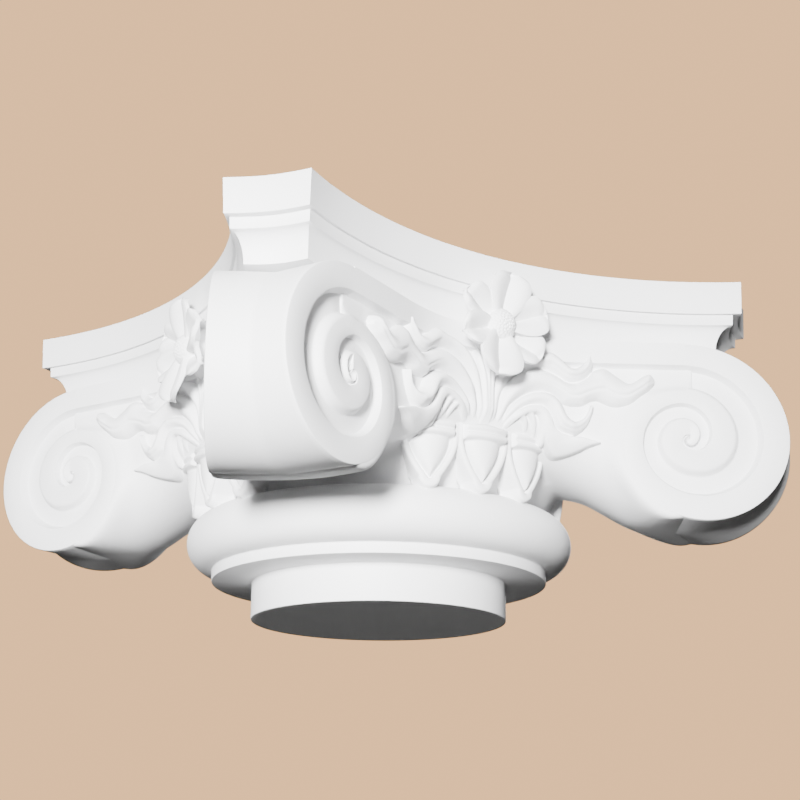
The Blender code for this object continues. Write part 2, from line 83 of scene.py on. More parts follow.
def smooth_route(points: Sequence[Sequence[float]], spacing: float) -> np.ndarray:
    """Lay a smooth curve through points.

    Args:
        points: the points that the curve passes, in order.
        spacing: the distance between the curve's own points, about.

    Returns:
        The curve's points, one row each.
    """
    given = np.array(points, dtype=float)
    padded = np.vstack([2 * given[0] - given[1], given, 2 * given[-1] - given[-2]])
    route = [given[0]]
    for index in range(len(given) - 1):
        near = padded[index:index + 4]
        steps = max(2, int(np.linalg.norm(near[2] - near[1]) / spacing))
        route += [catmull(near, step / steps) for step in range(1, steps + 1)]
    return np.array(route)


def quarter_turned(point: Vector, quarter: int) -> Vector:
    """Return the point turned by quarters about the column's axis."""
    return Matrix.Rotation(quarter * math.pi / 2, 3, "Z") @ point


def all_round(side: Sequence[Vector]) -> Ring:
    """Return the points of one side, followed by those of the other three."""
    return [quarter_turned(point, turn) for turn in range(QUARTERS) for point in side]


def ring_faces(rings: int, around: int) -> Faces:
    """Join rings of points that follow each other in one list.

    Args:
        rings: how many rings there are.
        around: how many points each has.

    Returns:
        The faces between them.
    """
    faces = []
    for start in range(0, (rings - 1) * around, around):
        for index in range(around):
            after = (index + 1) % around
            faces.append((start + index, start + after,
                          start + around + after, start + around + index))
    return faces


def mesh_object(name: str, points: Iterable[Sequence[float]],
                faces: Iterable[Sequence[int]]) -> bpy.types.Object:
    """Make a smooth-shaded object from points and faces.

    Args:
        name: the object's name.
        points: its vertices.
        faces: the vertex numbers of each face.

    Returns:
        The object, linked to the scene, with its faces pointing out.
    """
    mesh = bpy.data.meshes.new(name)
    mesh.from_pydata([tuple(point) for point in points], [], [tuple(face) for face in faces])
    shape = bmesh.new()
    shape.from_mesh(mesh)
    bmesh.ops.remove_doubles(shape, verts=shape.verts, dist=1e-6)
    bmesh.ops.recalc_face_normals(shape, faces=shape.faces)
    shape.to_mesh(mesh)
    shape.free()
    mesh.shade_smooth()
    item = bpy.data.objects.new(name, mesh)
    bpy.context.collection.objects.link(item)
    return item


def lofted(name: str, rings: Sequence[Ring]) -> bpy.types.Object:
    """Make a closed solid through rings of as many points each.

    Args:
        name: the object's name.
        rings: the closed outlines, from one end to the other.

    Returns:
        The solid.
    """
    count = len(rings[0])
    points = [point for ring in rings for point in ring]
    faces = ring_faces(len(rings), count)
    faces.append(tuple(range(count)))
    faces.append(tuple(range((len(rings) - 1) * count, len(rings) * count)))
    return mesh_object(name, points, faces)


def turned(name: str, outline: Iterable[Pair], divisions: int) -> bpy.types.Object:
    """Turn an outline about the column's axis.

    Args:
        name: the object's name.
        outline: the outline from one end to the other, as (radius, height).
        divisions: how many sides the turned form has.

    Returns:
        The closed solid.
    """
    angles = np.linspace(0, 2 * math.pi, divisions, endpoint=False)
    return lofted(name, [[Vector((radius * math.cos(angle), radius * math.sin(angle), height))
                          for angle in angles] for radius, height in outline])


def thinned(item: bpy.types.Object, kept_share: float) -> bpy.types.Object:
    """Thin out an object's faces, after its other modifiers.

    Args:
        item: the object.
        kept_share: the share of its triangles that is kept.

    Returns:
        The object, with the result as its own mesh and no modifiers.
    """
    item.modifiers.new("thin flat parts", "DECIMATE").ratio = kept_share
    graph = bpy.context.evaluated_depsgraph_get()
    settled = bpy.data.meshes.new_from_object(item.evaluated_get(graph))
    item.modifiers.clear()
    item.data = settled
    return item


def copies_at_quarters(item: bpy.types.Object, name: str) -> list[bpy.types.Object]:
    """Repeat a piece of the first side on all four sides.

    Args:
        item: the piece of the first side, which becomes one of the four.
        name: the name that the four share, before a number.

    Returns:
        The four pieces.
    """
    pieces = []
    for quarter in range(QUARTERS):
        mesh = item.data.copy()
        mesh.transform(Matrix.Rotation(quarter * math.pi / 2, 4, "Z"))
        piece = bpy.data.objects.new(f"{name}_{quarter + 1}", mesh)
        bpy.context.collection.objects.link(piece)
        pieces.append(piece)
    bpy.data.objects.remove(item)
    return pieces


class Sharpness(Enum):
    """How sharp an edge has to be to show as an edge, as an angle in degrees."""

    SOFT = 180
    MOULDED = 38


def dress(piece: bpy.types.Object, finish: bpy.types.Material, sharpness: Sharpness) -> None:
    """Give a piece its finish and tie it to the frame.

    Args:
        piece: the piece.
        finish: its material.
        sharpness: the angle over which its edges stay sharp.
    """
    piece.data.materials.clear()
    piece.data.materials.append(finish)
    piece.data.shade_smooth()
    if sharpness is not Sharpness.SOFT:
        piece.data.set_sharp_from_angle(angle=math.radians(sharpness.value))
    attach(piece, BODY)
    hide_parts(NODE)
    LOG.info("%s: %d faces", piece.name, len(piece.data.polygons))


@dataclass(frozen=True)
class CastWhite:
    """Matt white primer over cast foam: even, with faint clouding and a fine skin."""

    light: tuple[float, float, float, float] = (0.845, 0.845, 0.85, 1)
    shaded: tuple[float, float, float, float] = (0.80, 0.80, 0.805, 1)
    cloud_scale: float = 9.0
    skin_scale: float = 420.0
    skin_depth: float = 0.00006
    wave_scale: float = 26.0
    wave_depth: float = 0.00035
    roughness: Pair = (0.50, 0.62)
    specular: float = 0.35

    def material(self) -> bpy.types.Material:
        """Build the finish.

        Returns:
            The material, made of noise over the frame's own coordinates.
        """
        material = bpy.data.materials.new("matt white casting")
        material.use_nodes = True
        nodes = material.node_tree.nodes
        links = material.node_tree.links
        shader = nodes["Principled BSDF"]
        shader.inputs["Specular IOR Level"].default_value = self.specular
        place = nodes.new("ShaderNodeTexCoord")
        clouds = self.noise(nodes, links, place, self.cloud_scale, 4)
        tint = nodes.new("ShaderNodeMix")
        tint.data_type = "RGBA"
        tint.inputs["A"].default_value = self.shaded
        tint.inputs["B"].default_value = self.light
        links.new(clouds.outputs["Fac"], tint.inputs["Factor"])
        links.new(tint.outputs["Result"], shader.inputs["Base Color"])
        skin = self.noise(nodes, links, place, self.skin_scale, 3)
        sheen = nodes.new("ShaderNodeMapRange")
        sheen.inputs["To Min"].default_value = self.roughness[0]
        sheen.inputs["To Max"].default_value = self.roughness[1]
        links.new(skin.outputs["Fac"], sheen.inputs["Value"])
        links.new(sheen.outputs["Result"], shader.inputs["Roughness"])
        waves = self.noise(nodes, links, place, self.wave_scale, 2)
        fine = self.bump(nodes, links, skin, self.skin_depth)
        broad = self.bump(nodes, links, waves, self.wave_depth)
        links.new(fine.outputs["Normal"], broad.inputs["Normal"])
        links.new(broad.outputs["Normal"], shader.inputs["Normal"])
        return material

    @staticmethod
    def noise(nodes: bpy.types.Nodes, links: bpy.types.NodeLinks, place: bpy.types.Node,
              scale: float, detail: float) -> bpy.types.Node:
        """Add a noise texture.

        Args:
            nodes: the material's nodes.
            links: its links.
            place: the coordinate node.
            scale: waves in a metre, about.
            detail: how many finer layers it has.

        Returns:
            The noise node.
        """
        texture = nodes.new("ShaderNodeTexNoise")
        texture.inputs["Scale"].default_value = scale
        texture.inputs["Detail"].default_value = detail
        links.new(place.outputs["Object"], texture.inputs["Vector"])
        return texture

    @staticmethod
    def bump(nodes: bpy.types.Nodes, links: bpy.types.NodeLinks, height: bpy.types.Node,
             depth: float) -> bpy.types.Node:
        """Add a bump node.

        Args:
            nodes: the material's nodes.
            links: its links.
            height: the noise that feeds it.
            depth: how deep the noise is, in metres.

        Returns:
            The bump node.
        """
        node = nodes.new("ShaderNodeBump")
        node.inputs["Distance"].default_value = depth
        links.new(height.outputs["Fac"], node.inputs["Height"])
        return node


@dataclass(frozen=True)
class Plain:
    """A plain matt surface for the floor, which shows paler than the light it throws back."""

    name: str
    colour: tuple[float, float, float, float]
    shown: tuple[float, float, float, float]
    roughness: float = 0.9

    def material(self) -> bpy.types.Material:
        """Build the surface.

        Returns:
            Its material.
        """
        material = bpy.data.materials.new(self.name)
        material.use_nodes = True
        nodes = material.node_tree.nodes
        shader = nodes["Principled BSDF"]
        shader.inputs["Base Color"].default_value = self.colour
        shader.inputs["Roughness"].default_value = self.roughness
        shader.inputs["Emission Color"].default_value = self.shown
        seen = nodes.new("ShaderNodeLightPath").outputs["Is Camera Ray"]
        material.node_tree.links.new(seen, shader.inputs["Emission Strength"])
        return material


@dataclass
class Layout:
    """Sizes that the sub-assemblies share: heights and the plan of the channel face."""

    top: float = 0.271
    abacus_width: float = 0.500
    side_length: float = 0.406
    side_hollow: float = 0.0655
    channel_top: float = 0.2125
    eye_height: float = 0.131
    eye_along: float = 0.1556
    eye_out: float = 0.2301
    splay: float = math.radians(27.7)
    channel_middle: float = 0.1725
    relief: float = 0.0070
    torus_top: float = 0.0855
    neck_radius: float = 0.137
    bell_radius: float = 0.157
    bell_flare: float = 0.005
    bell_knee: float = 0.25

    @property
    def outward(self) -> Vector:
        """Return the direction from the column along the first corner's volute face."""
        return Vector((-math.cos(self.splay), -math.sin(self.splay), 0))

    @property
    def normal(self) -> Vector:
        """Return the normal of the first corner's volute face."""
        return Vector((math.sin(self.splay), -math.cos(self.splay), 0))

    def channel_arc(self) -> tuple[float, float, float]:
        """Return the middle, the radius and the half length of the channel's hollow part."""
        crossing = self.eye_out - self.eye_along * math.tan(self.splay)
        rise = math.tan(self.splay) * math.sin(self.splay) - (1 - math.cos(self.splay))
        radius = (self.channel_middle - crossing) / rise
        return self.channel_middle + radius, radius, radius * math.sin(self.splay)

    def channel_point(self, along: float, depth: float) -> Vector:
        """Return a point in plan of the channel face.

        Args:
            along: the place along the side, from its middle.
            depth: how far behind the face the point lies.

        Returns:
            The point, at height 0.
        """
        middle, radius, half = self.channel_arc()
        if abs(along) < half:
            angle = math.asin(along / radius)
            reach = radius + depth
            return Vector((reach * math.sin(angle), -middle + reach * math.cos(angle), 0))
        start = Vector((-half, -middle + radius * math.cos(self.splay), 0))
        point = (start + self.outward * (abs(along) - half) / math.cos(self.splay)
                 - depth * self.normal)
        return Vector((math.copysign(point.x, along), point.y, 0))

    def bell_radius_at(self, height: np.ndarray | float) -> np.ndarray | float:
        """Work out the bell above the torus.

        Args:
            height: heights over the base.

        Returns:
            The bell's radius at each.
        """
        knee = self.torus_top + self.bell_knee * (self.channel_top - self.torus_top)
        below = self.neck_radius + (self.bell_radius - self.neck_radius) * np.sin(
            np.clip((height - self.torus_top) / (knee - self.torus_top), 0, 1) * math.pi / 2)
        above = self.bell_flare * np.clip((height - knee) / (self.channel_top - knee), 0, 1)
        return below + above


@dataclass
class Abacus:
    """The moulded slab on top: four hollow sides with cut corners."""

    layout: Layout
    corner_hollow: float = 0.004
    side_divisions: int = 64
    corner_divisions: int = 10
    cavetto_divisions: int = 10
    fascia_bottom: float = 0.2428
    band_bottom: float = 0.2340
    cavetto_bottom: float = 0.2125
    side_step: float = 0.0045
    corner_step: float = 0.0085
    side_cavetto: float = 0.0090
    corner_cavetto: float = 0.0160
    edge: float = 0.0009
    batter: float = 0.0012

    def side_arc(self, side_inset: float, corner_inset: float) -> list[Pair]:
        """Return the hollow side that faces -Y.

        Args:
            side_inset: how far the side stands back.
            corner_inset: how far the cut corners stand back.

        Returns:
            Points in plan from corner to corner.
        """
        layout = self.layout
        half = layout.side_length / 2
        radius = (half ** 2 + layout.side_hollow ** 2) / (2 * layout.side_hollow)
        centre = -(layout.abacus_width / 2 - layout.side_hollow + radius)
        radius += side_inset
        reach = (layout.abacus_width / 2 + half) / math.sqrt(2) - corner_inset
        across = Vector((1, -1)) / math.sqrt(2)
        base = Vector((-1, -1)) / math.sqrt(2) * reach - Vector((0, centre))
        along = base.dot(across)
        spread = math.sqrt(along ** 2 - base.dot(base) + radius ** 2)
        nearest = min(-along + spread, -along - spread, key=abs)
        tip = Vector((-1, -1)) / math.sqrt(2) * reach + nearest * across
        points = []
        for index in range(self.side_divisions + 1):
            x = tip.x * (1 - 2 * index / self.side_divisions)
            points.append((x, centre + math.sqrt(radius ** 2 - x ** 2)))
        return points

    def ring(self, side_inset: float, corner_inset: float, height: float) -> Ring:
        """Return the slab's outline at one height.

        Args:
            side_inset: how far the sides stand back.
            corner_inset: how far the cut corners stand back.
            height: the height over the base.

        Returns:
            The closed outline.
        """
        side = [Vector(point) for point in self.side_arc(side_inset, corner_inset)]
        start = side[-1]
        end = Vector((-start.y, -start.x))
        inward = Vector((-1, 1)) / math.sqrt(2)
        for index in range(1, self.corner_divisions + 1):
            t = index / (self.corner_divisions + 1)
            side.append(start.lerp(end, t) + inward * self.corner_hollow * math.sin(math.pi * t))
        return all_round([Vector((point.x, point.y, height)) for point in side])

    def profile(self) -> list[tuple[float, float, float]]:
        """Return the moulding from the top down, as (side inset, corner inset, height)."""
        edge, batter = self.edge, self.batter
        top = self.layout.top
        fascia = self.fascia_bottom
        band = self.band_bottom
        steps = [
            (5 * edge, 5 * edge, top),
            (edge, edge, top),
            (0.3 * edge, 0.3 * edge, top - 0.3 * edge),
            (0, 0, top - edge),
            (batter, batter, fascia + edge),
            (batter + 0.3 * edge, batter + 0.3 * edge, fascia + 0.3 * edge),
            (batter + edge, batter + edge, fascia),
            (self.side_step - 0.0004, self.corner_step - 0.0004, fascia + 0.0004),
            (self.side_step, self.corner_step, fascia - 0.0006),
            (self.side_step + 0.0003, self.corner_step + 0.0005, band + edge),
            (self.side_step + 0.0006, self.corner_step + 0.0008, band + 0.3 * edge),
            (self.side_step + 0.0003 + edge, self.corner_step + 0.0005 + edge, band),
        ]
        for index in range(1, self.cavetto_divisions + 1):
            angle = index / self.cavetto_divisions * math.pi / 2
            steps.append((
                self.side_step + edge + (self.side_cavetto - edge) * math.sin(angle),
                self.corner_step + edge + (self.corner_cavetto - edge) * math.sin(angle),
                band - (band - self.cavetto_bottom) * (1 - math.cos(angle)),
            ))
        return steps

    def build(self) -> list[bpy.types.Object]:
        """Return the slab."""
        return [lofted("abacus", [self.ring(*step) for step in self.profile()])]


@dataclass
class Volute:
    """One corner's volute: two spiral faces that meet in a valley round the rim."""

    layout: Layout
    radii: tuple[float, ...] = (0.0815, 0.0820, 0.0655, 0.0540, 0.0418, 0.0353, 0.0240, 0.0215,
                                0.0155, 0.0062, 0.0050, 0.0040, 0.0030)
    turn_divisions: int = 96
    rim_divisions: int = 10
    band_share: float = 0.47
    band_shares: tuple[float, ...] = (0.47, 0.47, 0.48, 0.49, 0.45, 0.64, 0.84, 0.90, 0.92)
    start_dip: float = 0.0022
    dip_share: float = 0.055
    edge: float = 0.0012
    pit_depth: float = 0.0060

    @property
    def channel_band(self) -> float:
        """Return the height of the flat band along the top of the channel."""
        return self.band_share * (self.radii[0] - self.radii[4])

    def radius(self, turns: float) -> float:
        """Work out the spiral.

        Args:
            turns: the number of turns from the top.

        Returns:
            Its outer radius there.
        """
        last = len(self.radii) - 1
        first = max(0, min(int(turns * 4), last - 1))
        near = [self.radii[max(0, min(first + step, last))] for step in (-1, 0, 1, 2)]
        return catmull(near, turns * 4 - first)

    def relief_profile(self) -> list[Pair]:
        """Return the relief from a turn's outer edge to the next turn's, as (share, sunk share)."""
        band = self.band_share
        return [(0.0, 0.0), (band * 0.5, 0.0), (band - 0.025, 0.0), (band - 0.005, 0.05),
                (band + 0.015, 0.30), (band + 0.045, 0.78), (band + 0.065, 0.97),
                (band + 0.085, 1.0), (0.70, 1.0), (0.855, 1.0), (0.875, 0.95), (0.895, 0.74),
                (0.920, 0.42), (0.945, 0.18), (0.970, 0.05), (1.0, 0.0)]

    def spread(self, share: float, turns: float) -> float:
        """Move a share of the relief so that the band has its own width at this turn.

        Args:
            share: a share of the way from a turn's outer edge to the next turn's.
            turns: the number of turns from the top.

        Returns:
            The moved share.
        """
        known = np.linspace(0, 2, len(self.band_shares))
        band = float(np.interp(turns, known, self.band_shares))
        if share < self.band_share:
            return share * band / self.band_share
        return band + (share - self.band_share) * (1 - band) / (1 - self.band_share)

    def on_face(self, outwards: float, upwards: float, depth: float) -> Vector:
        """Place a point on the first corner's face.

        Args:
            outwards: how far it lies from the eye, away from the column.
            upwards: how far it lies over the eye.
            depth: how far it lies behind the face.

        Returns:
            The point.
        """
        layout = self.layout
        eye = Vector((-layout.eye_along, -layout.eye_out, layout.eye_height))
        return eye + outwards * layout.outward + Vector((0, 0, upwards)) - depth * layout.normal

    def to_valley(self, point: Vector, share: float) -> Vector:
        """Push a point back along the face's normal.

        Args:
            point: the point.
            share: the share of its way to the diagonal plane.

        Returns:
            The point's new place.
        """
        normal = self.layout.normal
        back = (point.x - point.y) / (normal.x - normal.y)
        return point - back * share * normal

    def build(self) -> list[bpy.types.Object]:
        """Build the volutes.

        Returns:
            The four, each a closed shell with spiral relief on both faces.
        """
        profile = self.relief_profile()
        columns = 2 * self.turn_divisions
        last_row = len(profile) - 1
        near: list[Vector] = []
        faces: Faces = []
        index_of: dict[tuple[int, int], int] = {}
        reference = self.radii[0] - self.radii[4]
        for column in range(columns + 1):
            turns = column / self.turn_divisions
            outer = self.radius(turns)
            inner = self.radius(turns + 1)
            depth = self.layout.relief * min(1.0, 1.15 * (outer - inner) / reference)
            angle = 2 * math.pi * turns
            dip = self.start_dip * max(0.0, 1 - turns / self.dip_share)
            for row, (share, sunk) in enumerate(profile):
                if row == 0 and column >= self.turn_divisions:
                    index_of[column, row] = index_of[column - self.turn_divisions, last_row]
                    continue
                place = outer + (inner - outer) * self.spread(share, turns)
                if row == 0:
                    place -= self.edge
                index_of[column, row] = len(near)
                near.append(self.on_face(place * math.sin(angle), place * math.cos(angle),
                                         (depth + dip) * sunk))
        for column in range(columns):
            for row in range(last_row):
                faces.append((index_of[column, row], index_of[column + 1, row],
                              index_of[column + 1, row + 1], index_of[column, row + 1]))
        start = columns - self.turn_divisions
        hole = [index_of[column, last_row] for column in range(start, columns)]
        hole += [index_of[columns, row] for row in range(last_row, 0, -1)]
        pit = len(near)
        near.append(self.on_face(0, 0, self.pit_depth))
        for begin, end in zip(hole, hole[1:] + hole[:1]):
            faces.append((begin, end, pit))
        loop = [index_of[column, 0] for column in range(self.turn_divisions + 1)]
        loop += [index_of[0, row] for row in range(last_row - 1, 0, -1)]
        return copies_at_quarters(self.closed(near, faces, loop), "volute")

    def closed(self, near: list[Vector], faces: Faces, loop: list[int]) -> bpy.types.Object:
        """Join the face and its mirror image by the rim.

        Args:
            near: the points of the face towards -Y.
            faces: the face's polygons.
            loop: the numbers of the points round its edge.

        Returns:
            The closed volute of the first corner.
        """
        points = list(near) + [Vector((point.y, point.x, point.z)) for point in near]
        shift = len(near)
        polygons = list(faces) + [tuple(index + shift for index in face) for face in faces]
        eye = self.on_face(0, 0, 0)
        normal = self.layout.normal
        strips = [list(loop)]
        for inset, depth in ((0.3 * self.edge, 0.3 * self.edge), (0.0, self.edge)):
            row = []
            for number, index in enumerate(loop):
                row.append(len(points))
                if number > self.turn_divisions:
                    points.append(near[index] - depth * normal)
                    continue
                away = near[index] - eye
                wider = (away.length + self.edge - inset) / away.length
                points.append(eye + away * wider - depth * normal)
            strips.append(row)
        edge_row = [points[index] for index in strips[-1]]
        for step in range(1, self.rim_divisions + 1):
            row = []
            share = step / self.rim_divisions
            for point in edge_row:
                row.append(len(points))
                points.append(self.to_valley(point, share))
            strips.append(row)
        mirrored_strips = []
        for strip in strips[1:-1]:
            row = []
            for index in strip:
                row.append(len(points))
                source = points[index]
                points.append(Vector((source.y, source.x, source.z)))
            mirrored_strips.append(row)
        far_loop = [index + shift for index in loop]
        for rows in (strips, [far_loop] + mirrored_strips + [strips[-1]]):
            for low, high in zip(rows, rows[1:]):
                for index in range(len(low)):
                    after = (index + 1) % len(low)
                    polygons.append((low[index], low[after], high[after], high[index]))
        return mesh_object("volute", points, polygons)


@dataclass
class Flank:
    """The ground of one corner: sunk channel, slope up to the volute and the arm's underside.

    Its surface is given as a distance from the plane of the diagonal, over places out along the
    diagonal and heights.
    """

    layout: Layout
    volute: Volute
    shoulder: float = 0.150
    underside: tuple[Pair, ...] = (
        (0.060, 0.110), (0.120, 0.109), (0.145, 0.1065), (0.160, 0.1030),
        (0.176, 0.0970), (0.192, 0.0870), (0.209, 0.0762), (0.225, 0.0695),
        (0.241, 0.0664), (0.254, 0.0658), (0.266, 0.0672), (0.280, 0.0700))
    slope: float = 0.021
    narrow_slope: float = 0.0040
    slope_narrows: Pair = (0.76, 0.20)
    start_share: float = 0.060
    rim_cover: float = 0.0003
    floor_cover: float = 0.0030
    floor_dips: Pair = (0.005, 0.006)
    shoulder_drops: Pair = (0.180, 0.080)
    fullness: float = 2.1
    end_fullness: float = 2.4
    end_fills: Pair = (0.215, 0.045)
    reach: Pair = (0.075, 0.2765)
    sections: int = 110
    section_divisions: int = 64

    def bottom(self, distance: np.ndarray) -> np.ndarray:
        """Return the height of the arm's underside on the diagonal, at distances from the axis."""
        known = smooth_route(self.underside, 0.002)
        return np.interp(distance, known[:, 0], known[:, 1])

    def face_offset(self, distance: np.ndarray) -> np.ndarray:
        """Measure how far the channel face stands from the diagonal plane.

        Args:
            distance: places out along the diagonal.

        Returns:
            The face's distance from the plane at each.
        """
        alongs = np.linspace(-self.layout.eye_along * 1.2, self.layout.eye_along * 0.4, 400)
        points = [self.layout.channel_point(float(along), 0) for along in alongs]
        places = np.array([(-(point.x + point.y) / math.sqrt(2), (point.x - point.y) / math.sqrt(2))
                           for point in points])
        order = np.argsort(places[:, 0])
        return np.interp(distance, places[order, 0], places[order, 1])

    def beyond_edge(self, distance: np.ndarray,
                    height: np.ndarray) -> tuple[np.ndarray, np.ndarray]:
        """Find places of the face in relation to the volute's edge.

        Args:
            distance: places out along the diagonal.
            height: heights over the base.

        Returns:
            How far each lies beyond the edge of the volute, below 0 within it, and how far round
            the edge it lies, in turns.
        """
        layout = self.layout
        eye = (layout.eye_along + layout.eye_out) / math.sqrt(2)
        out = (distance - eye) / math.cos(math.pi / 4 - layout.splay)
        up = height - layout.eye_height
        turns = (np.arctan2(out, up) / (2 * math.pi) - self.start_share) % 1 + self.start_share
        known = np.linspace(0, 1 + self.start_share, 361)
        table = np.array([self.volute.radius(float(turn)) for turn in known])
        return np.hypot(out, up) - np.interp(turns, known, table), turns

    def surface(self, distance: np.ndarray, height: np.ndarray) -> np.ndarray:
        """Return the ground's distance from the diagonal plane.

        Args:
            distance: places out along the diagonal.
            height: heights over the base, from the underside up.

        Returns:
            The distances.
        """
        layout = self.layout
        beyond, turns = self.beyond_edge(distance, height)
        wide = 1 - eased(turns, self.slope_narrows)
        run = self.narrow_slope + (self.slope - self.narrow_slope) * wide
        outside = self.rim_cover + (layout.relief - self.rim_cover) * smoothstep(beyond / run)
        within = self.rim_cover + (layout.relief + self.floor_cover) * eased(
            -beyond, self.floor_dips)
        depth = np.where(beyond > 0, outside, within)
        low = layout.eye_height - self.volute.radius(0.5)
        start = self.shoulder + (low - self.shoulder) * eased(distance, self.shoulder_drops)
        bottom = self.bottom(distance)
        fall = np.clip((start - height) / np.maximum(start - bottom, MM), 0, 1)
        power = self.fullness + self.end_fullness * eased(distance, self.end_fills)
        return (self.face_offset(distance) - depth) * (1 - fall ** power) ** (1 / power)

    def recess(self, along: np.ndarray, height: np.ndarray) -> np.ndarray:
        """Return how far the ground lies behind the channel floor, seen along the floor's normal.

        Args:
            along: places along the side.
            height: heights over the base.

        Returns:
            The depths, held by the bell in the middle of the side.
        """
        layout = self.layout
        known = np.linspace(0, float(np.max(np.abs(along))) + 0.001, 200)
        plan = [layout.channel_point(-float(value), layout.relief) for value in known]
        x = np.interp(np.abs(along), known, [point.x for point in plan])
        y = np.interp(np.abs(along), known, [point.y for point in plan])
        distance = -(x + y) / math.sqrt(2)
        offset = (x - y) / math.sqrt(2)
        drop = self.shoulder - self.bottom(distance)
        fall = np.clip((self.shoulder - height) / drop, 0, 0.97)
        back = offset * (1 - (1 - fall ** self.fullness) ** (1 / self.fullness))
        bell = np.hypot(x, y) - layout.bell_radius_at(height)
        return np.minimum(back, np.maximum(bell, 0))

    def build(self) -> bpy.types.Object:
        """Build the flank of the first corner.

        Returns:
            The flank, a closed solid.
        """
        top = self.layout.channel_top - self.volute.channel_band + 0.004
        outward = Vector((-1, -1, 0)) / math.sqrt(2)
        sideways = Vector((1, -1, 0)) / math.sqrt(2)
        angles = np.linspace(0, math.pi / 2, self.section_divisions)
        rings = []
        for distance in np.linspace(*self.reach, self.sections):
            bottom = float(self.bottom(distance))
            heights = bottom + (top - bottom) * (1 - np.cos(angles))
            offsets = self.surface(np.full(heights.shape, distance), heights)
            half = list(zip(offsets.tolist(), heights.tolist()))
            ring = half + [(-across, up) for across, up in reversed(half[1:])]
            rings.append([outward * distance + sideways * across + Vector((0, 0, up))
                          for across, up in ring])
        return lofted("flank", rings)


@dataclass
class Core:
    """The bell and the four flanks, run into each other with soft coves."""

    layout: Layout
    flank: Flank
    lathe_divisions: int = 96
    grain: float = 0.0021
    softness: int = 8
    kept_share: float = 0.60

    def bell(self) -> bpy.types.Object:
        """Return the turned bell, from inside the torus to inside the abacus."""
        heights = np.linspace(self.layout.torus_top - 0.012, self.layout.channel_top + 0.004, 24)
        outline = [(float(self.layout.bell_radius_at(height)), height) for height in heights]
        return turned("bell", outline, self.lathe_divisions)

    def build(self) -> list[bpy.types.Object]:
        """Build the body that all the other parts run into.

        Returns:
            The body.
        """
        parts = [self.bell()] + copies_at_quarters(self.flank.build(), "flank")
        body = bpy.data.objects.new("body", bpy.data.meshes.new("body"))
        bpy.context.collection.objects.link(body)
        whole = bmesh.new()
        for part in parts:
            whole.from_mesh(part.data)
            bpy.data.objects.remove(part)
        whole.to_mesh(body.data)
        whole.free()
        remesh = body.modifiers.new("run together", "REMESH")
        remesh.mode = "VOXEL"
        remesh.voxel_size = self.grain
        remesh.use_smooth_shade = True
        smooth = body.modifiers.new("soften", "SMOOTH")
        smooth.factor = 0.5
        smooth.iterations = self.softness
        return [thinned(body, self.kept_share)]


@dataclass
class ChannelBand:
    """The flat band that runs from volute to volute under the abacus."""

    layout: Layout
    volute: Volute
    divisions: int = 64

    def ring(self, depth: float, height: float) -> Ring:
        """Work out the band's outline at one height.

        Args:
            depth: how far behind the face it lies.
            height: the height over the base.

        Returns:
            The closed outline.
        """
        reach = self.layout.eye_along
        lift = Vector((0, 0, height))
        return all_round([self.layout.channel_point(float(along), depth) + lift
                          for along in np.linspace(-reach, reach, self.divisions + 1)])

    def build(self) -> list[bpy.types.Object]:
        """Return the band, with its lower edge stepped down to the channel."""
        low = self.layout.channel_top - self.volute.channel_band
        relief = self.layout.relief
        steps = ((0.0, self.layout.channel_top + 0.0004), (0.0, low + 0.0015),
                 (0.05 * relief, low + 0.0004), (0.35 * relief, low - 0.0004),
                 (0.80 * relief, low - 0.0013), (relief, low - 0.0026),
                 (relief + 0.004, low - 0.006))
        return [lofted("channel_band", [self.ring(depth, height) for depth, height in steps])]


@dataclass
class Base:
    """The turned foot: torus, fillet and the spigot that enters the column."""

    layout: Layout
    spigot_radius: float = 0.109
    spigot_length: float = 0.031
    fillet_radius: float = 0.1435
    fillet_height: float = 0.0090
    torus_radius: float = 0.1655
    divisions: int = 224
    edge: float = 0.0008

    def profile(self) -> list[Pair]:
        """Return the turned outline from the base up, as (radius, height)."""
        edge = self.edge
        step = self.spigot_length
        fillet_top = step + self.fillet_height
        half = (self.layout.torus_top - fillet_top) / 2
        middle = self.torus_radius - half
        points = [
            (self.spigot_radius - 5 * edge, 0.0), (self.spigot_radius - edge, 0.0),
            (self.spigot_radius - 0.3 * edge, 0.3 * edge),
            (self.spigot_radius, edge), (self.spigot_radius, step - edge),
            (self.spigot_radius + edge, step), (self.fillet_radius - edge, step),
            (self.fillet_radius - 0.3 * edge, step + 0.3 * edge), (self.fillet_radius, step + edge),
            (self.fillet_radius, fillet_top - 0.0006), (self.fillet_radius + 0.0006, fillet_top),
        ]
        for angle in np.linspace(-math.pi / 2 + 0.06, math.pi / 2, 30):
            points.append((middle + half * math.cos(angle),
                           fillet_top + half * (1 + math.sin(angle))))
        points += [(self.layout.neck_radius + 0.0015, self.layout.torus_top + 0.0002),
                   (self.layout.neck_radius - 0.004, self.layout.torus_top + 0.0012)]
        return points

    def build(self) -> list[bpy.types.Object]:
        """Return the turned foot."""
        return [turned("foot", self.profile(), self.divisions)]


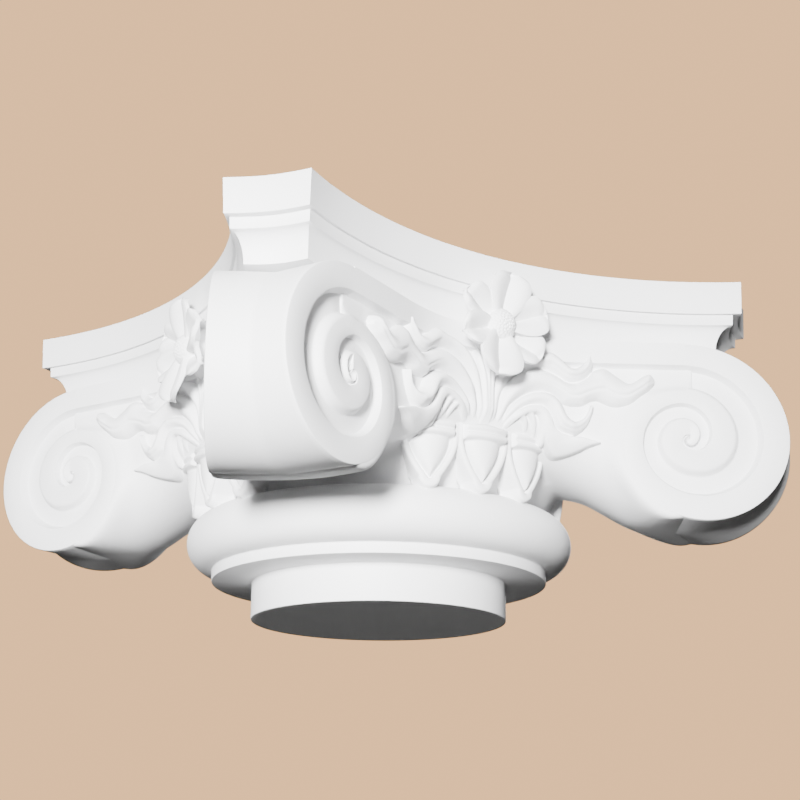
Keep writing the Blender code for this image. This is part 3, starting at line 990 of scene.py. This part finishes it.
@dataclass
class Relief:
    """A carved field over a curved ground: heights on an even grid, cut off by steep walls."""

    low: Pair
    high: Pair
    grain: float = 0.0006
    floor: float = 0.0120
    wall: float = 0.0014
    blur: float = 0.00045
    least: float = 0.0004
    sunk: float = 0.003
    across: np.ndarray = field(init=False)
    up: np.ndarray = field(init=False)
    heights: np.ndarray = field(init=False)

    def __post_init__(self) -> None:
        """Lay out the grid."""
        columns = int(round((self.high[0] - self.low[0]) / self.grain)) + 1
        rows = int(round((self.high[1] - self.low[1]) / self.grain)) + 1
        self.across, self.up = np.meshgrid(
            np.linspace(self.low[0], self.high[0], columns),
            np.linspace(self.low[1], self.high[1], rows), indexing="ij")
        self.heights = np.full(self.across.shape, -self.floor)

    def distance(self, route: np.ndarray) -> np.ndarray:
        """Measure how far the grid's points lie from a route.

        Args:
            route: the route's points.

        Returns:
            The distance of each grid point.
        """
        nearest = np.full(self.across.shape, np.inf)
        for start, end in zip(route, route[1:]):
            run = end - start
            along, over = self.across - start[0], self.up - start[1]
            share = np.clip((along * run[0] + over * run[1]) / float(run @ run), 0, 1)
            nearest = np.minimum(nearest, np.hypot(along - share * run[0], over - share * run[1]))
        return nearest

    def inside(self, outline: np.ndarray) -> np.ndarray:
        """Find the grid points that a closed outline holds.

        Args:
            outline: the outline's points.

        Returns:
            True for each point inside it.
        """
        held = np.zeros(self.across.shape, dtype=bool)
        for start, end in zip(outline, np.roll(outline, -1, axis=0)):
            if start[1] == end[1]:
                continue
            crosses = (start[1] > self.up) != (end[1] > self.up)
            at = start[0] + (self.up - start[1]) / (end[1] - start[1]) * (end[0] - start[0])
            held ^= crosses & (self.across < at)
        return held

    def raise_shape(self, top: np.ndarray, outside: np.ndarray) -> None:
        """Raise a shape out of the ground.

        Args:
            top: the shape's height over the ground, also just outside it.
            outside: the distance from the shape, 0 within it.
        """
        fall = smoothstep(outside / self.wall)
        self.heights = np.maximum(self.heights, top - (top + self.floor) * fall)

    def soften(self) -> None:
        """Blur the carving a little, as a mould and its primer do."""
        reach = max(1, int(round(3 * self.blur / self.grain)))
        offsets = np.arange(-reach, reach + 1)
        weights = np.exp(-0.5 * (offsets * self.grain / self.blur) ** 2)
        weights /= weights.sum()
        for axis in (0, 1):
            margins = [(reach, reach) if axis == side else (0, 0) for side in (0, 1)]
            padded = np.pad(self.heights, margins, "edge")
            total = np.zeros(self.heights.shape)
            for offset, weight in zip(offsets, weights):
                begin = reach + offset
                part = [slice(None), slice(None)]
                part[axis] = slice(begin, begin + self.heights.shape[axis])
                total += weight * padded[tuple(part)]
            self.heights = total

    def solid(self, name: str, place: Placing) -> bpy.types.Object:
        """Turn the field into a closed solid.

        Args:
            name: the object's name.
            place: gives the points in space of places along, heights over the base and heights
                over the ground.

        Returns:
            The solid, with its back sunk in what carries it.
        """
        kept = self.heights > -self.floor + self.least
        cell = kept[:-1, :-1] | kept[1:, :-1] | kept[:-1, 1:] | kept[1:, 1:]
        used = np.zeros(self.across.shape, dtype=bool)
        used[:-1, :-1] |= cell
        used[1:, :-1] |= cell
        used[:-1, 1:] |= cell
        used[1:, 1:] |= cell
        number = np.full(self.across.shape, -1)
        number[used] = np.arange(int(used.sum()))
        along, up, heights = self.across[used], self.up[used], self.heights[used]
        front = place(along, up, heights)
        back = place(along, up, np.full(along.shape, -self.floor - self.sunk))
        count = len(front)
        first, second = np.nonzero(cell)
        corners = np.stack([number[first, second], number[first + 1, second],
                            number[first + 1, second + 1], number[first, second + 1]], axis=1)
        faces = [corners, corners[:, ::-1] + count]
        padded = np.pad(cell, 1)
        for step, (a, b) in (((-1, 0), (3, 0)), ((1, 0), (1, 2)),
                             ((0, -1), (0, 1)), ((0, 1), (2, 3))):
            open_side = ~padded[1 + first + step[0], 1 + second + step[1]]
            begin, end = corners[open_side][:, a], corners[open_side][:, b]
            faces.append(np.stack([end, begin, begin + count, end + count], axis=1))
        return mesh_object(name, np.concatenate([front, back]), np.concatenate(faces).tolist())


@dataclass(frozen=True)
class Leaf:
    """A leaf between two borders, which run from its root to its tip, in millimetres."""

    upper: tuple[Pair, ...]
    lower: tuple[Pair, ...]
    height: float
    crest: float
    folds: tuple[float, ...] = ()
    tip_lift: float = 0.0
    border: float = 0.26


@dataclass
class Palmette:
    """The spray of leaves and stalks on one side, under the flower."""

    layout: Layout
    flank: Flank
    leaves: tuple[Leaf, ...] = (
        Leaf(((3, 133), (5, 160), (10, 178), (20, 190), (34, 197), (46, 199.5), (55, 202),
              (62, 198), (67, 193), (71.5, 189.5), (76, 190), (80.5, 193.5), (84.5, 200.5)),
             ((7.5, 133), (11, 157), (17, 170), (26, 179.5), (35, 184.5), (44, 187),
              (52.5, 186), (60, 182.5), (66, 178.5), (72.5, 177.5), (79.5, 180), (85, 186),
              (87.5, 192.5), (86, 200.5)),
             13.0, 0.55, (0.30,), 3.0),
        Leaf(((8, 133), (11.5, 157), (17.5, 169.5), (26.5, 179), (35.5, 184), (44.5, 186.5),
              (53, 185.2), (60.5, 181.7), (66.5, 177.7), (72.5, 176.7), (79.5, 179.2),
              (84.5, 183), (88.5, 188.5), (95.5, 190.5), (100.5, 187.5), (106.5, 182.5),
              (113, 178), (119.5, 181), (125, 185), (129, 186), (132.5, 181)),
             ((11, 133), (18, 150.5), (28, 160.5), (37.5, 166), (47, 168), (55, 167.5),
              (61, 164), (65.5, 159.5), (72, 158), (79.5, 159), (85, 162.5), (90, 163.5),
              (94.5, 161.5), (102, 158.5), (109.5, 158.8), (115.5, 161), (121, 166.3),
              (127, 171.5), (132, 178)),
             12.0, 0.50, (0.36,), 1.5),
        Leaf(((11.5, 132), (18.6, 149.8), (28.6, 159.8), (38, 165.2), (47, 167.2), (55, 166.2),
              (61.5, 161.5), (64.8, 155.5), (67, 149.7), (71.5, 145), (76, 145.2), (81, 148.7),
              (84, 154), (85.3, 159)),
             ((13.5, 131), (21.5, 143.5), (30, 151.4), (38, 155), (46.6, 155.6), (51.5, 152),
              (55.5, 145), (58.5, 138.5), (63.5, 135), (71.0, 133), (77.3, 135.8),
              (82.2, 141.5), (85.3, 149.8), (87, 158)),
             12.0, 0.55, (0.33,), 3.0),
        Leaf(((14.2, 130), (22.2, 142.8), (30.5, 150.7), (38, 154.3), (46.4, 154.9),
              (51, 151.6), (54.8, 144.7), (57.8, 138), (63.0, 134.4), (70.7, 132.2),
              (78.0, 131.8), (84.5, 129.9), (92, 127.6)),
             ((17, 130), (24, 139), (31, 145.5), (38, 148.5), (44, 148.5), (47.5, 144),
              (49.5, 137), (51.8, 129), (55.5, 121.5), (61, 117.4), (68.5, 118.2),
              (76.0, 120.8), (83.5, 124.5), (92, 127.2)),
             10.5, 0.50, (), 0.0, 0.78),
    )
    stems: tuple[tuple[Pair, ...], ...] = (
        ((0, 131), (0, 155), (0, 176), (0, 196)),
        ((2.4, 131), (2.6, 155), (4.5, 176), (11, 193)),
        ((16, 132), (23, 142.5), (29.5, 145.5), (33.5, 142), (35.2, 136), (35, 126)),
        ((18, 135), (26.5, 146), (34.5, 149.5), (39.3, 145.5), (41.5, 138), (42, 126)),
        ((20, 139), (30, 148.6), (39.5, 151.6), (45.8, 148.5), (48.6, 140), (49.5, 126)),
    )
    stem_width: float = 0.0026
    stem_height: float = 0.0075
    root_share: float = 0.2
    root_rises: Pair = (0.126, 0.022)
    root_ends: Pair = (0.040, 0.010)
    crown_power: float = 0.62
    full_width: float = 0.012
    young_share: float = 0.70
    grows: Pair = (0.006, 0.030)
    fold_depth: float = 0.0012
    fold_width: float = 0.06
    fold_starts: Pair = (0.045, 0.02)
    tip_reach: float = 0.016
    span: float = 0.138
    low: float = 0.106
    high: float = 0.207
    kept_share: float = 0.45

    def root(self, relief: Relief) -> np.ndarray:
        """Return the share of their height that leaves keep where they come out behind the eggs."""
        risen = self.root_share + (1 - self.root_share) * eased(relief.up, self.root_rises)
        return risen + (1 - risen) * eased(relief.across, self.root_ends)

    def carve_leaf(self, relief: Relief, leaf: Leaf) -> None:
        """Carve one leaf.

        Args:
            relief: the field it is carved in.
            leaf: the leaf.
        """
        upper = smooth_route(leaf.upper, 1.5) * MM
        lower = smooth_route(leaf.lower, 1.5) * MM
        to_upper = relief.distance(upper)
        to_lower = relief.distance(lower)
        held = relief.inside(np.vstack([upper, lower[::-1]]))
        share = to_lower / np.maximum(to_upper + to_lower, 1e-9)
        skewed = np.clip(share, 0, 1) ** (math.log(0.5) / math.log(leaf.crest))
        crown = np.sin(math.pi * skewed) ** self.crown_power
        width = np.clip((to_upper + to_lower) / self.full_width, 0.30, 1)
        growth = self.young_share + (1 - self.young_share) * eased(relief.across, self.grows)
        top = leaf.height * MM * growth * (leaf.border + (1 - leaf.border) * crown * width)
        top = top * self.root(relief)
        for fold in leaf.folds:
            furrow = np.exp(-((share - fold) / self.fold_width) ** 2)
            top = top - self.fold_depth * eased(relief.across, self.fold_starts) * furrow
        tip = (upper[-1] + lower[-1]) / 2
        from_tip = np.hypot(relief.across - tip[0], relief.up - tip[1])
        top = top + leaf.tip_lift * MM * (1 - np.clip(from_tip / self.tip_reach, 0, 1))
        outside = np.where(held, 0, np.minimum(to_upper, to_lower))
        relief.raise_shape(top, outside)

    def carve_stem(self, relief: Relief, stem: tuple[Pair, ...]) -> None:
        """Carve one stalk as a round ridge.

        Args:
            relief: the field it is carved in.
            stem: the points that the stalk passes.
        """
        gap = relief.distance(smooth_route(stem, 1.5) * MM)
        crown = np.sqrt(np.clip(1 - (gap / self.stem_width) ** 2, 0, 1))
        top = self.stem_height * (0.45 + 0.55 * crown)
        relief.raise_shape(top * self.root(relief), np.maximum(gap - self.stem_width, 0))

    def place(self, along: np.ndarray, up: np.ndarray, heights: np.ndarray) -> np.ndarray:
        """Lay points over the sunk channel.

        Args:
            along: places along the side.
            up: heights over the base.
            heights: heights over the ground.

        Returns:
            The points in space, one row each.
        """
        layout = self.layout
        middle, radius, half = layout.channel_arc()
        angle = np.arcsin(np.clip(along, -half, half) / radius)
        reach = radius + layout.relief
        x = reach * np.sin(angle)
        y = -middle + reach * np.cos(angle)
        beyond = np.sign(along) * np.maximum(np.abs(along) - half, 0) / math.cos(layout.splay)
        x = x + beyond * math.cos(layout.splay)
        y = y - np.abs(beyond) * math.sin(layout.splay)
        heights = heights - self.flank.recess(along, up)
        return np.stack([x - heights * np.sin(angle), y - heights * np.cos(angle), up], axis=1)

    def build(self) -> list[bpy.types.Object]:
        """Build the sprays.

        Returns:
            The four.
        """
        half = Relief((0.0, self.low), (self.span, self.high))
        for stem in self.stems:
            self.carve_stem(half, stem)
        for leaf in self.leaves:
            self.carve_leaf(half, leaf)
        whole = Relief((-self.span, self.low), (self.span, self.high))
        whole.heights = np.concatenate([half.heights[:0:-1], half.heights])
        whole.soften()
        item = whole.solid("palmette", self.place)
        return copies_at_quarters(thinned(item, self.kept_share), "palmette")


@dataclass
class EggRow:
    """The eggs of one side, each in a raised rim under a band of two rings."""

    layout: Layout
    spacing: float = math.radians(16.2)
    tip: float = 0.0893
    shoulder: float = 0.1220
    half_width: float = 0.0162
    proud: float = 0.0120
    rim_width: float = 0.0052
    rim_proud: float = 0.0085
    taper: float = 1.8
    groove: float = 0.0014
    groove_floor: float = 0.0015
    collar_half: float = 0.0178
    collar_bottom: float = 0.1210
    collar_top: float = 0.1330
    collar_proud: float = 0.0150
    collar_bow: float = 0.0030
    collar_rings: float = 0.0042
    collar_sunk: float = 0.0062
    span: float = 0.0700
    low: float = 0.0800
    high: float = 0.1400
    kept_share: float = 0.5

    def carve(self, relief: Relief, centre: float) -> None:
        """Carve one egg with its rim and its band.

        Args:
            relief: the field it is carved in.
            centre: its place along the bell.
        """
        across = relief.across - centre
        length = self.shoulder - self.tip
        share = np.clip((self.shoulder - relief.up) / length, 0, 1.5)
        half = self.half_width * (1 - np.clip(share, 0, 1) ** self.taper)
        slope = self.taper * self.half_width * np.clip(share, 0.02, 1) ** 0.8 / length
        below = np.maximum(share - 1, 0) * length
        gap = np.where(share < 1, (np.abs(across) - half) / np.sqrt(1 + slope ** 2),
                       np.hypot(np.abs(across), below) * 0.75)
        inside = np.clip(1 - (np.abs(across) / np.maximum(half, 0.0008)) ** 2, 0, 1)
        fullness = 1 - 0.50 * np.clip(share, 0, 1) ** 2.4
        egg = self.proud * (0.12 + 0.88 * np.sqrt(inside)) * fullness
        reach = relief.up < self.collar_top + 0.002
        relief.raise_shape(np.where(reach, egg, -relief.floor),
                           np.where(reach, np.maximum(gap, 0), relief.wall))
        rim_half = self.rim_width / 2
        from_rim = gap - self.groove - rim_half
        crown = 0.72 + 0.28 * np.sqrt(np.clip(1 - (from_rim / rim_half) ** 2, 0, 1))
        rim = self.rim_proud * (1 - 0.30 * np.clip(share, 0, 1)) * crown
        sunk = np.where(gap < self.groove, relief.wall, np.maximum(np.abs(from_rim) - rim_half, 0))
        relief.raise_shape(np.where(reach, rim, -relief.floor), np.where(reach, sunk, relief.wall))
        moat = (gap > 0) & (gap < self.groove) & reach
        relief.heights = np.where(moat, np.maximum(relief.heights, self.groove_floor),
                                  relief.heights)
        ring_height = (self.collar_top - self.collar_bottom) / 2
        phase = (relief.up - self.collar_bottom) / ring_height
        rings = np.clip(1 - (2 * (phase % 1) - 1) ** 2, 0, 1) ** 0.5
        bow = np.clip(1 - (across / self.collar_half) ** 2, 0, 1)
        collar = (self.collar_proud - self.collar_sunk + self.collar_bow * bow
                  + self.collar_rings * rings)
        middle = (self.collar_bottom + self.collar_top) / 2
        outside = np.maximum(np.abs(across) - self.collar_half,
                             np.abs(relief.up - middle) - ring_height)
        relief.raise_shape(collar, np.maximum(outside, 0))

    def place(self, along: np.ndarray, up: np.ndarray, heights: np.ndarray) -> np.ndarray:
        """Lay points over the bell.

        Args:
            along: places along the bell.
            up: heights over the base.
            heights: heights over the bell.

        Returns:
            The points in space, one row each.
        """
        angle = along / self.layout.bell_radius
        radius = self.layout.bell_radius + heights
        return np.stack([radius * np.sin(angle), -radius * np.cos(angle), up], axis=1)

    def build(self) -> list[bpy.types.Object]:
        """Build the rows of eggs.

        Returns:
            The four.
        """
        relief = Relief((-self.span, self.low), (self.span, self.high), wall=0.0013)
        for step in (-1, 0, 1):
            self.carve(relief, step * self.spacing * self.layout.bell_radius)
        relief.soften()
        item = relief.solid("eggs", self.place)
        return copies_at_quarters(thinned(item, self.kept_share), "eggs")


@dataclass(frozen=True)
class Petal:
    """One petal: its direction clockwise from the top in degrees, its sizes and its lift."""

    turn: float
    length: float
    half_width: float
    lift: float


@dataclass
class Flower:
    """The flower in the middle of a side: curled petals round a pitted button."""

    layout: Layout
    height: float = 0.2118
    out: float = 0.1890
    petals: tuple[Petal, ...] = (
        Petal(8, 0.0430, 0.0180, 0.0015),
        Petal(70, 0.0420, 0.0160, 0.0005),
        Petal(122, 0.0430, 0.0140, -0.0035),
        Petal(190, 0.0455, 0.0190, 0.0020),
        Petal(251, 0.0410, 0.0135, 0.0),
        Petal(301, 0.0420, 0.0135, -0.0015),
    )
    lean: float = 0.0100
    curl: float = 0.0045
    petal_thickness: float = 0.0030
    valley: float = 0.0075
    button_radius: float = 0.0125
    button_height: float = 0.0065
    button_out: float = 0.1925
    seeds: int = 64
    seed_depth: float = 0.0013
    petal_start: float = 0.005
    heart: tuple[Pair, ...] = ((0.026, 0.164), (0.0150, 0.184), (0.010, 0.190))
    heart_divisions: int = 32

    @staticmethod
    def half_width(petal: Petal, share: float) -> float:
        """Work out how wide a petal is.

        Args:
            petal: the petal.
            share: the share of its length from its root.

        Returns:
            Its half width there.
        """
        swell = 0.34 + 0.66 * math.sin(math.pi / 2 * min(1.0, share / 0.62))
        blunt = math.sqrt(max(0.0, 1 - max(0.0, (share - 0.60) / 0.40) ** 2.6))
        return petal.half_width * swell * blunt + 0.0004

    def petal(self, petal: Petal) -> Part:
        """Work out one petal, a sheet with a valley along it and its tip curled back.

        Args:
            petal: the petal's direction and sizes.

        Returns:
            Its points and its faces.
        """
        lengths, widths = 26, 16
        angle = math.radians(petal.turn)
        outward = Vector((math.sin(angle), 0, math.cos(angle)))
        sideways = Vector((math.cos(angle), 0, -math.sin(angle)))
        centre = Vector((0, -self.out, self.height))
        front: list[Vector] = []
        back: list[Vector] = []
        for step in range(lengths + 1):
            share = step / lengths
            reach = self.petal_start + share * (petal.length - self.petal_start)
            curled = self.curl * max(0.0, (share - 0.80) / 0.20) ** 2
            rise = petal.lift + self.lean * share ** 1.2 - curled
            half = self.half_width(petal, share)
            folded = self.valley * math.sin(math.pi * (0.16 + 0.66 * share))
            for place in range(widths + 1):
                side = 2 * place / widths - 1
                lift = folded * (math.sin(abs(side) * math.pi * 0.62) - 0.45)
                spot = centre + outward * reach + sideways * half * side
                front.append(spot + Vector((0, -(rise + lift), 0)))
                depth = self.petal_thickness + 0.006 * (1 - share) ** 2
                back.append(spot + Vector((0, -(rise + lift) + depth, 0)))
        count = len(front)
        row = widths + 1
        faces: Faces = []
        for step in range(lengths):
            for place in range(widths):
                a = step * row + place
                faces.append((a, a + 1, a + 1 + row, a + row))
                faces.append((a + count, a + row + count, a + 1 + row + count, a + 1 + count))
        border = list(range(row))
        border += [step * row + widths for step in range(1, lengths + 1)]
        border += [lengths * row + place for place in range(widths - 1, -1, -1)]
        border += [step * row for step in range(lengths - 1, 0, -1)]
        for begin, end in zip(border, border[1:] + border[:1]):
            faces.append((begin, end, end + count, begin + count))
        return front + back, faces

    def button(self) -> Part:
        """Work out the button, pitted all over.

        Returns:
            Its points and its faces.
        """
        rings, around = 22, 72
        golden = math.pi * (3 - math.sqrt(5))
        seeds = []
        for index in range(self.seeds):
            reach = self.button_radius * 0.92 * math.sqrt((index + 0.5) / self.seeds)
            seeds.append((reach * math.sin(index * golden), reach * math.cos(index * golden)))
        points: list[Vector] = []
        pitch = 0.30 * self.button_radius * 2 / math.sqrt(self.seeds)
        for ring in range(rings + 1):
            share = ring / rings
            for index in range(around):
                angle = 2 * math.pi * index / around
                reach = self.button_radius * share
                x, z = reach * math.sin(angle), reach * math.cos(angle)
                dome = self.button_height * (1 - share ** 2.6)
                nearest = min((x - seed[0]) ** 2 + (z - seed[1]) ** 2 for seed in seeds)
                dome -= self.seed_depth * math.exp(-nearest / pitch ** 2)
                points.append(Vector((x, -self.button_out - dome, self.height + z)))
        for index in range(around):
            angle = 2 * math.pi * index / around
            points.append(Vector((self.button_radius * math.sin(angle), -self.out + 0.012,
                                  self.height + self.button_radius * math.cos(angle))))
        faces = ring_faces(rings + 2, around)
        faces.append(tuple(range((rings + 1) * around, (rings + 2) * around)))
        return points, faces

    def boss(self) -> Part:
        """Work out the boss that carries the petals on the abacus.

        Returns:
            Its points and its faces.
        """
        around, rings = self.heart_divisions, len(self.heart)
        points: list[Vector] = []
        for radius, out in self.heart:
            for index in range(around):
                angle = 2 * math.pi * index / around
                points.append(Vector((radius * math.sin(angle), -out,
                                      self.height + radius * math.cos(angle))))
        caps = [tuple(range(around)), tuple(range((rings - 1) * around, rings * around))]
        return points, caps + ring_faces(rings, around)

    def build(self) -> list[bpy.types.Object]:
        """Build the flowers.

        Returns:
            The four.
        """
        points: list[Vector] = []
        faces: Faces = []
        for part in [self.petal(petal) for petal in self.petals] + [self.button(), self.boss()]:
            shift = len(points)
            points += part[0]
            faces += [tuple(index + shift for index in face) for face in part[1]]
        return copies_at_quarters(mesh_object("flower", points, faces), "flower")


@dataclass(frozen=True)
class Lamp:
    """A soft lamp: where it hangs, in degrees, its distance and width, its cone and its watts."""

    name: str
    azimuth: float
    height: float
    distance: float
    size: float
    cone: float
    power: float


@dataclass
class Studio:
    """The floor, the light and the camera."""

    target: tuple[float, float, float] = (0.0, 0.0, 0.13)
    camera_place: tuple[float, float, float] = (-0.63525, -1.10025, -0.20025)
    yaw: float = math.radians(59.23)
    pitch: float = math.radians(17.47)
    roll: float = math.radians(0.44)
    focal_pixels: float = 1486.6
    frame_pixels: float = 800.0
    sensor: float = 36.0
    floor_height: float = -1.20
    floor_size: float = 14.0
    floor_colour: tuple[float, float, float, float] = (0.60, 0.59, 0.58, 1)
    floor_shown: tuple[float, float, float, float] = (0.62, 0.56, 0.50, 1)
    backdrop: tuple[float, float, float, float] = (1.50, 0.86, 0.40, 1)
    ambient: float = 0.06
    key: Lamp = Lamp("key", 40, 0, 3.0, 0.6, 36, 24.0)
    fill: Lamp = Lamp("fill", 222, 14, 3.0, 1.2, 50, 9.0)

    def camera(self) -> None:
        """Set the camera at the photograph's viewing angle."""
        data = bpy.data.cameras.new("camera")
        data.sensor_width = self.sensor
        data.lens = self.focal_pixels / self.frame_pixels * self.sensor
        data.clip_start = 0.01
        item = bpy.data.objects.new("camera", data)
        level = math.cos(self.pitch)
        forward = Vector((level * math.cos(self.yaw), level * math.sin(self.yaw),
                          math.sin(self.pitch)))
        right = forward.cross(Vector((0, 0, 1))).normalized()
        up = right.cross(forward)
        cosine, sine = math.cos(self.roll), math.sin(self.roll)
        turned_right = cosine * right + sine * up
        turned_up = -sine * right + cosine * up
        rotation = Matrix((turned_right, turned_up, -forward)).transposed().to_4x4()
        item.matrix_world = Matrix.Translation(Vector(self.camera_place)) @ rotation
        bpy.context.collection.objects.link(item)
        bpy.context.scene.camera = item

    def floor(self) -> None:
        """Lay the pale floor."""
        half = self.floor_size / 2
        corners = [(-half, -half), (half, -half), (half, half), (-half, half)]
        item = mesh_object("floor", [(x, y, self.floor_height) for x, y in corners], [(0, 1, 2, 3)])
        surface = Plain("pale floor", self.floor_colour, self.floor_shown)
        item.data.materials.append(surface.material())

    def hang(self, lamp: Lamp) -> None:
        """Hang a lamp and point it at the middle of the capital.

        Args:
            lamp: the lamp.
        """
        data = bpy.data.lights.new(lamp.name, "AREA")
        data.shape = "DISK"
        data.size = lamp.size
        data.spread = math.radians(lamp.cone)
        data.energy = lamp.power
        item = bpy.data.objects.new(lamp.name, data)
        azimuth, height = math.radians(lamp.azimuth), math.radians(lamp.height)
        level = math.cos(height)
        way = Vector((-math.sin(azimuth) * level, -math.cos(azimuth) * level, math.sin(height)))
        item.location = Vector(self.target) + way * lamp.distance
        item.rotation_euler = way.to_track_quat("Z", "Y").to_euler()
        bpy.context.collection.objects.link(item)

    def surroundings(self) -> None:
        """Fill the room with even light, and show it tan where it is seen directly."""
        world = bpy.data.worlds.new("room")
        world.use_nodes = True
        nodes = world.node_tree.nodes
        links = world.node_tree.links
        nodes.clear()
        output = nodes.new("ShaderNodeOutputWorld")
        lighting = nodes.new("ShaderNodeBackground")
        lighting.inputs["Color"].default_value = (1, 1, 1, 1)
        lighting.inputs["Strength"].default_value = self.ambient
        seen = nodes.new("ShaderNodeBackground")
        seen.inputs["Color"].default_value = self.backdrop
        path = nodes.new("ShaderNodeLightPath")
        mix = nodes.new("ShaderNodeMixShader")
        links.new(path.outputs["Is Camera Ray"], mix.inputs["Fac"])
        links.new(lighting.outputs["Background"], mix.inputs[1])
        links.new(seen.outputs["Background"], mix.inputs[2])
        links.new(mix.outputs["Shader"], output.inputs["Surface"])
        bpy.context.scene.world = world

    def build(self) -> None:
        """Set up the studio."""
        self.surroundings()
        self.floor()
        self.hang(self.key)
        self.hang(self.fill)
        self.camera()


def main() -> None:
    """Build the capital's parts in order, dress them and set up the studio."""
    logging.basicConfig(level=logging.INFO, format="%(message)s")
    layout = Layout()
    volute = Volute(layout)
    flank = Flank(layout, volute)
    finish = CastWhite().material()
    builders: list[tuple[Callable[[], list[bpy.types.Object]], Sharpness]] = [
        (Core(layout, flank).build, Sharpness.SOFT),
        (Base(layout).build, Sharpness.MOULDED),
        (ChannelBand(layout, volute).build, Sharpness.MOULDED),
        (Abacus(layout).build, Sharpness.MOULDED),
        (volute.build, Sharpness.MOULDED),
        (EggRow(layout).build, Sharpness.SOFT),
        (Palmette(layout, flank).build, Sharpness.SOFT),
        (Flower(layout).build, Sharpness.MOULDED),
    ]
    for build, sharpness in builders:
        for piece in build():
            dress(piece, finish, sharpness)
    Studio().build()


if __name__ == "__main__":
    main()
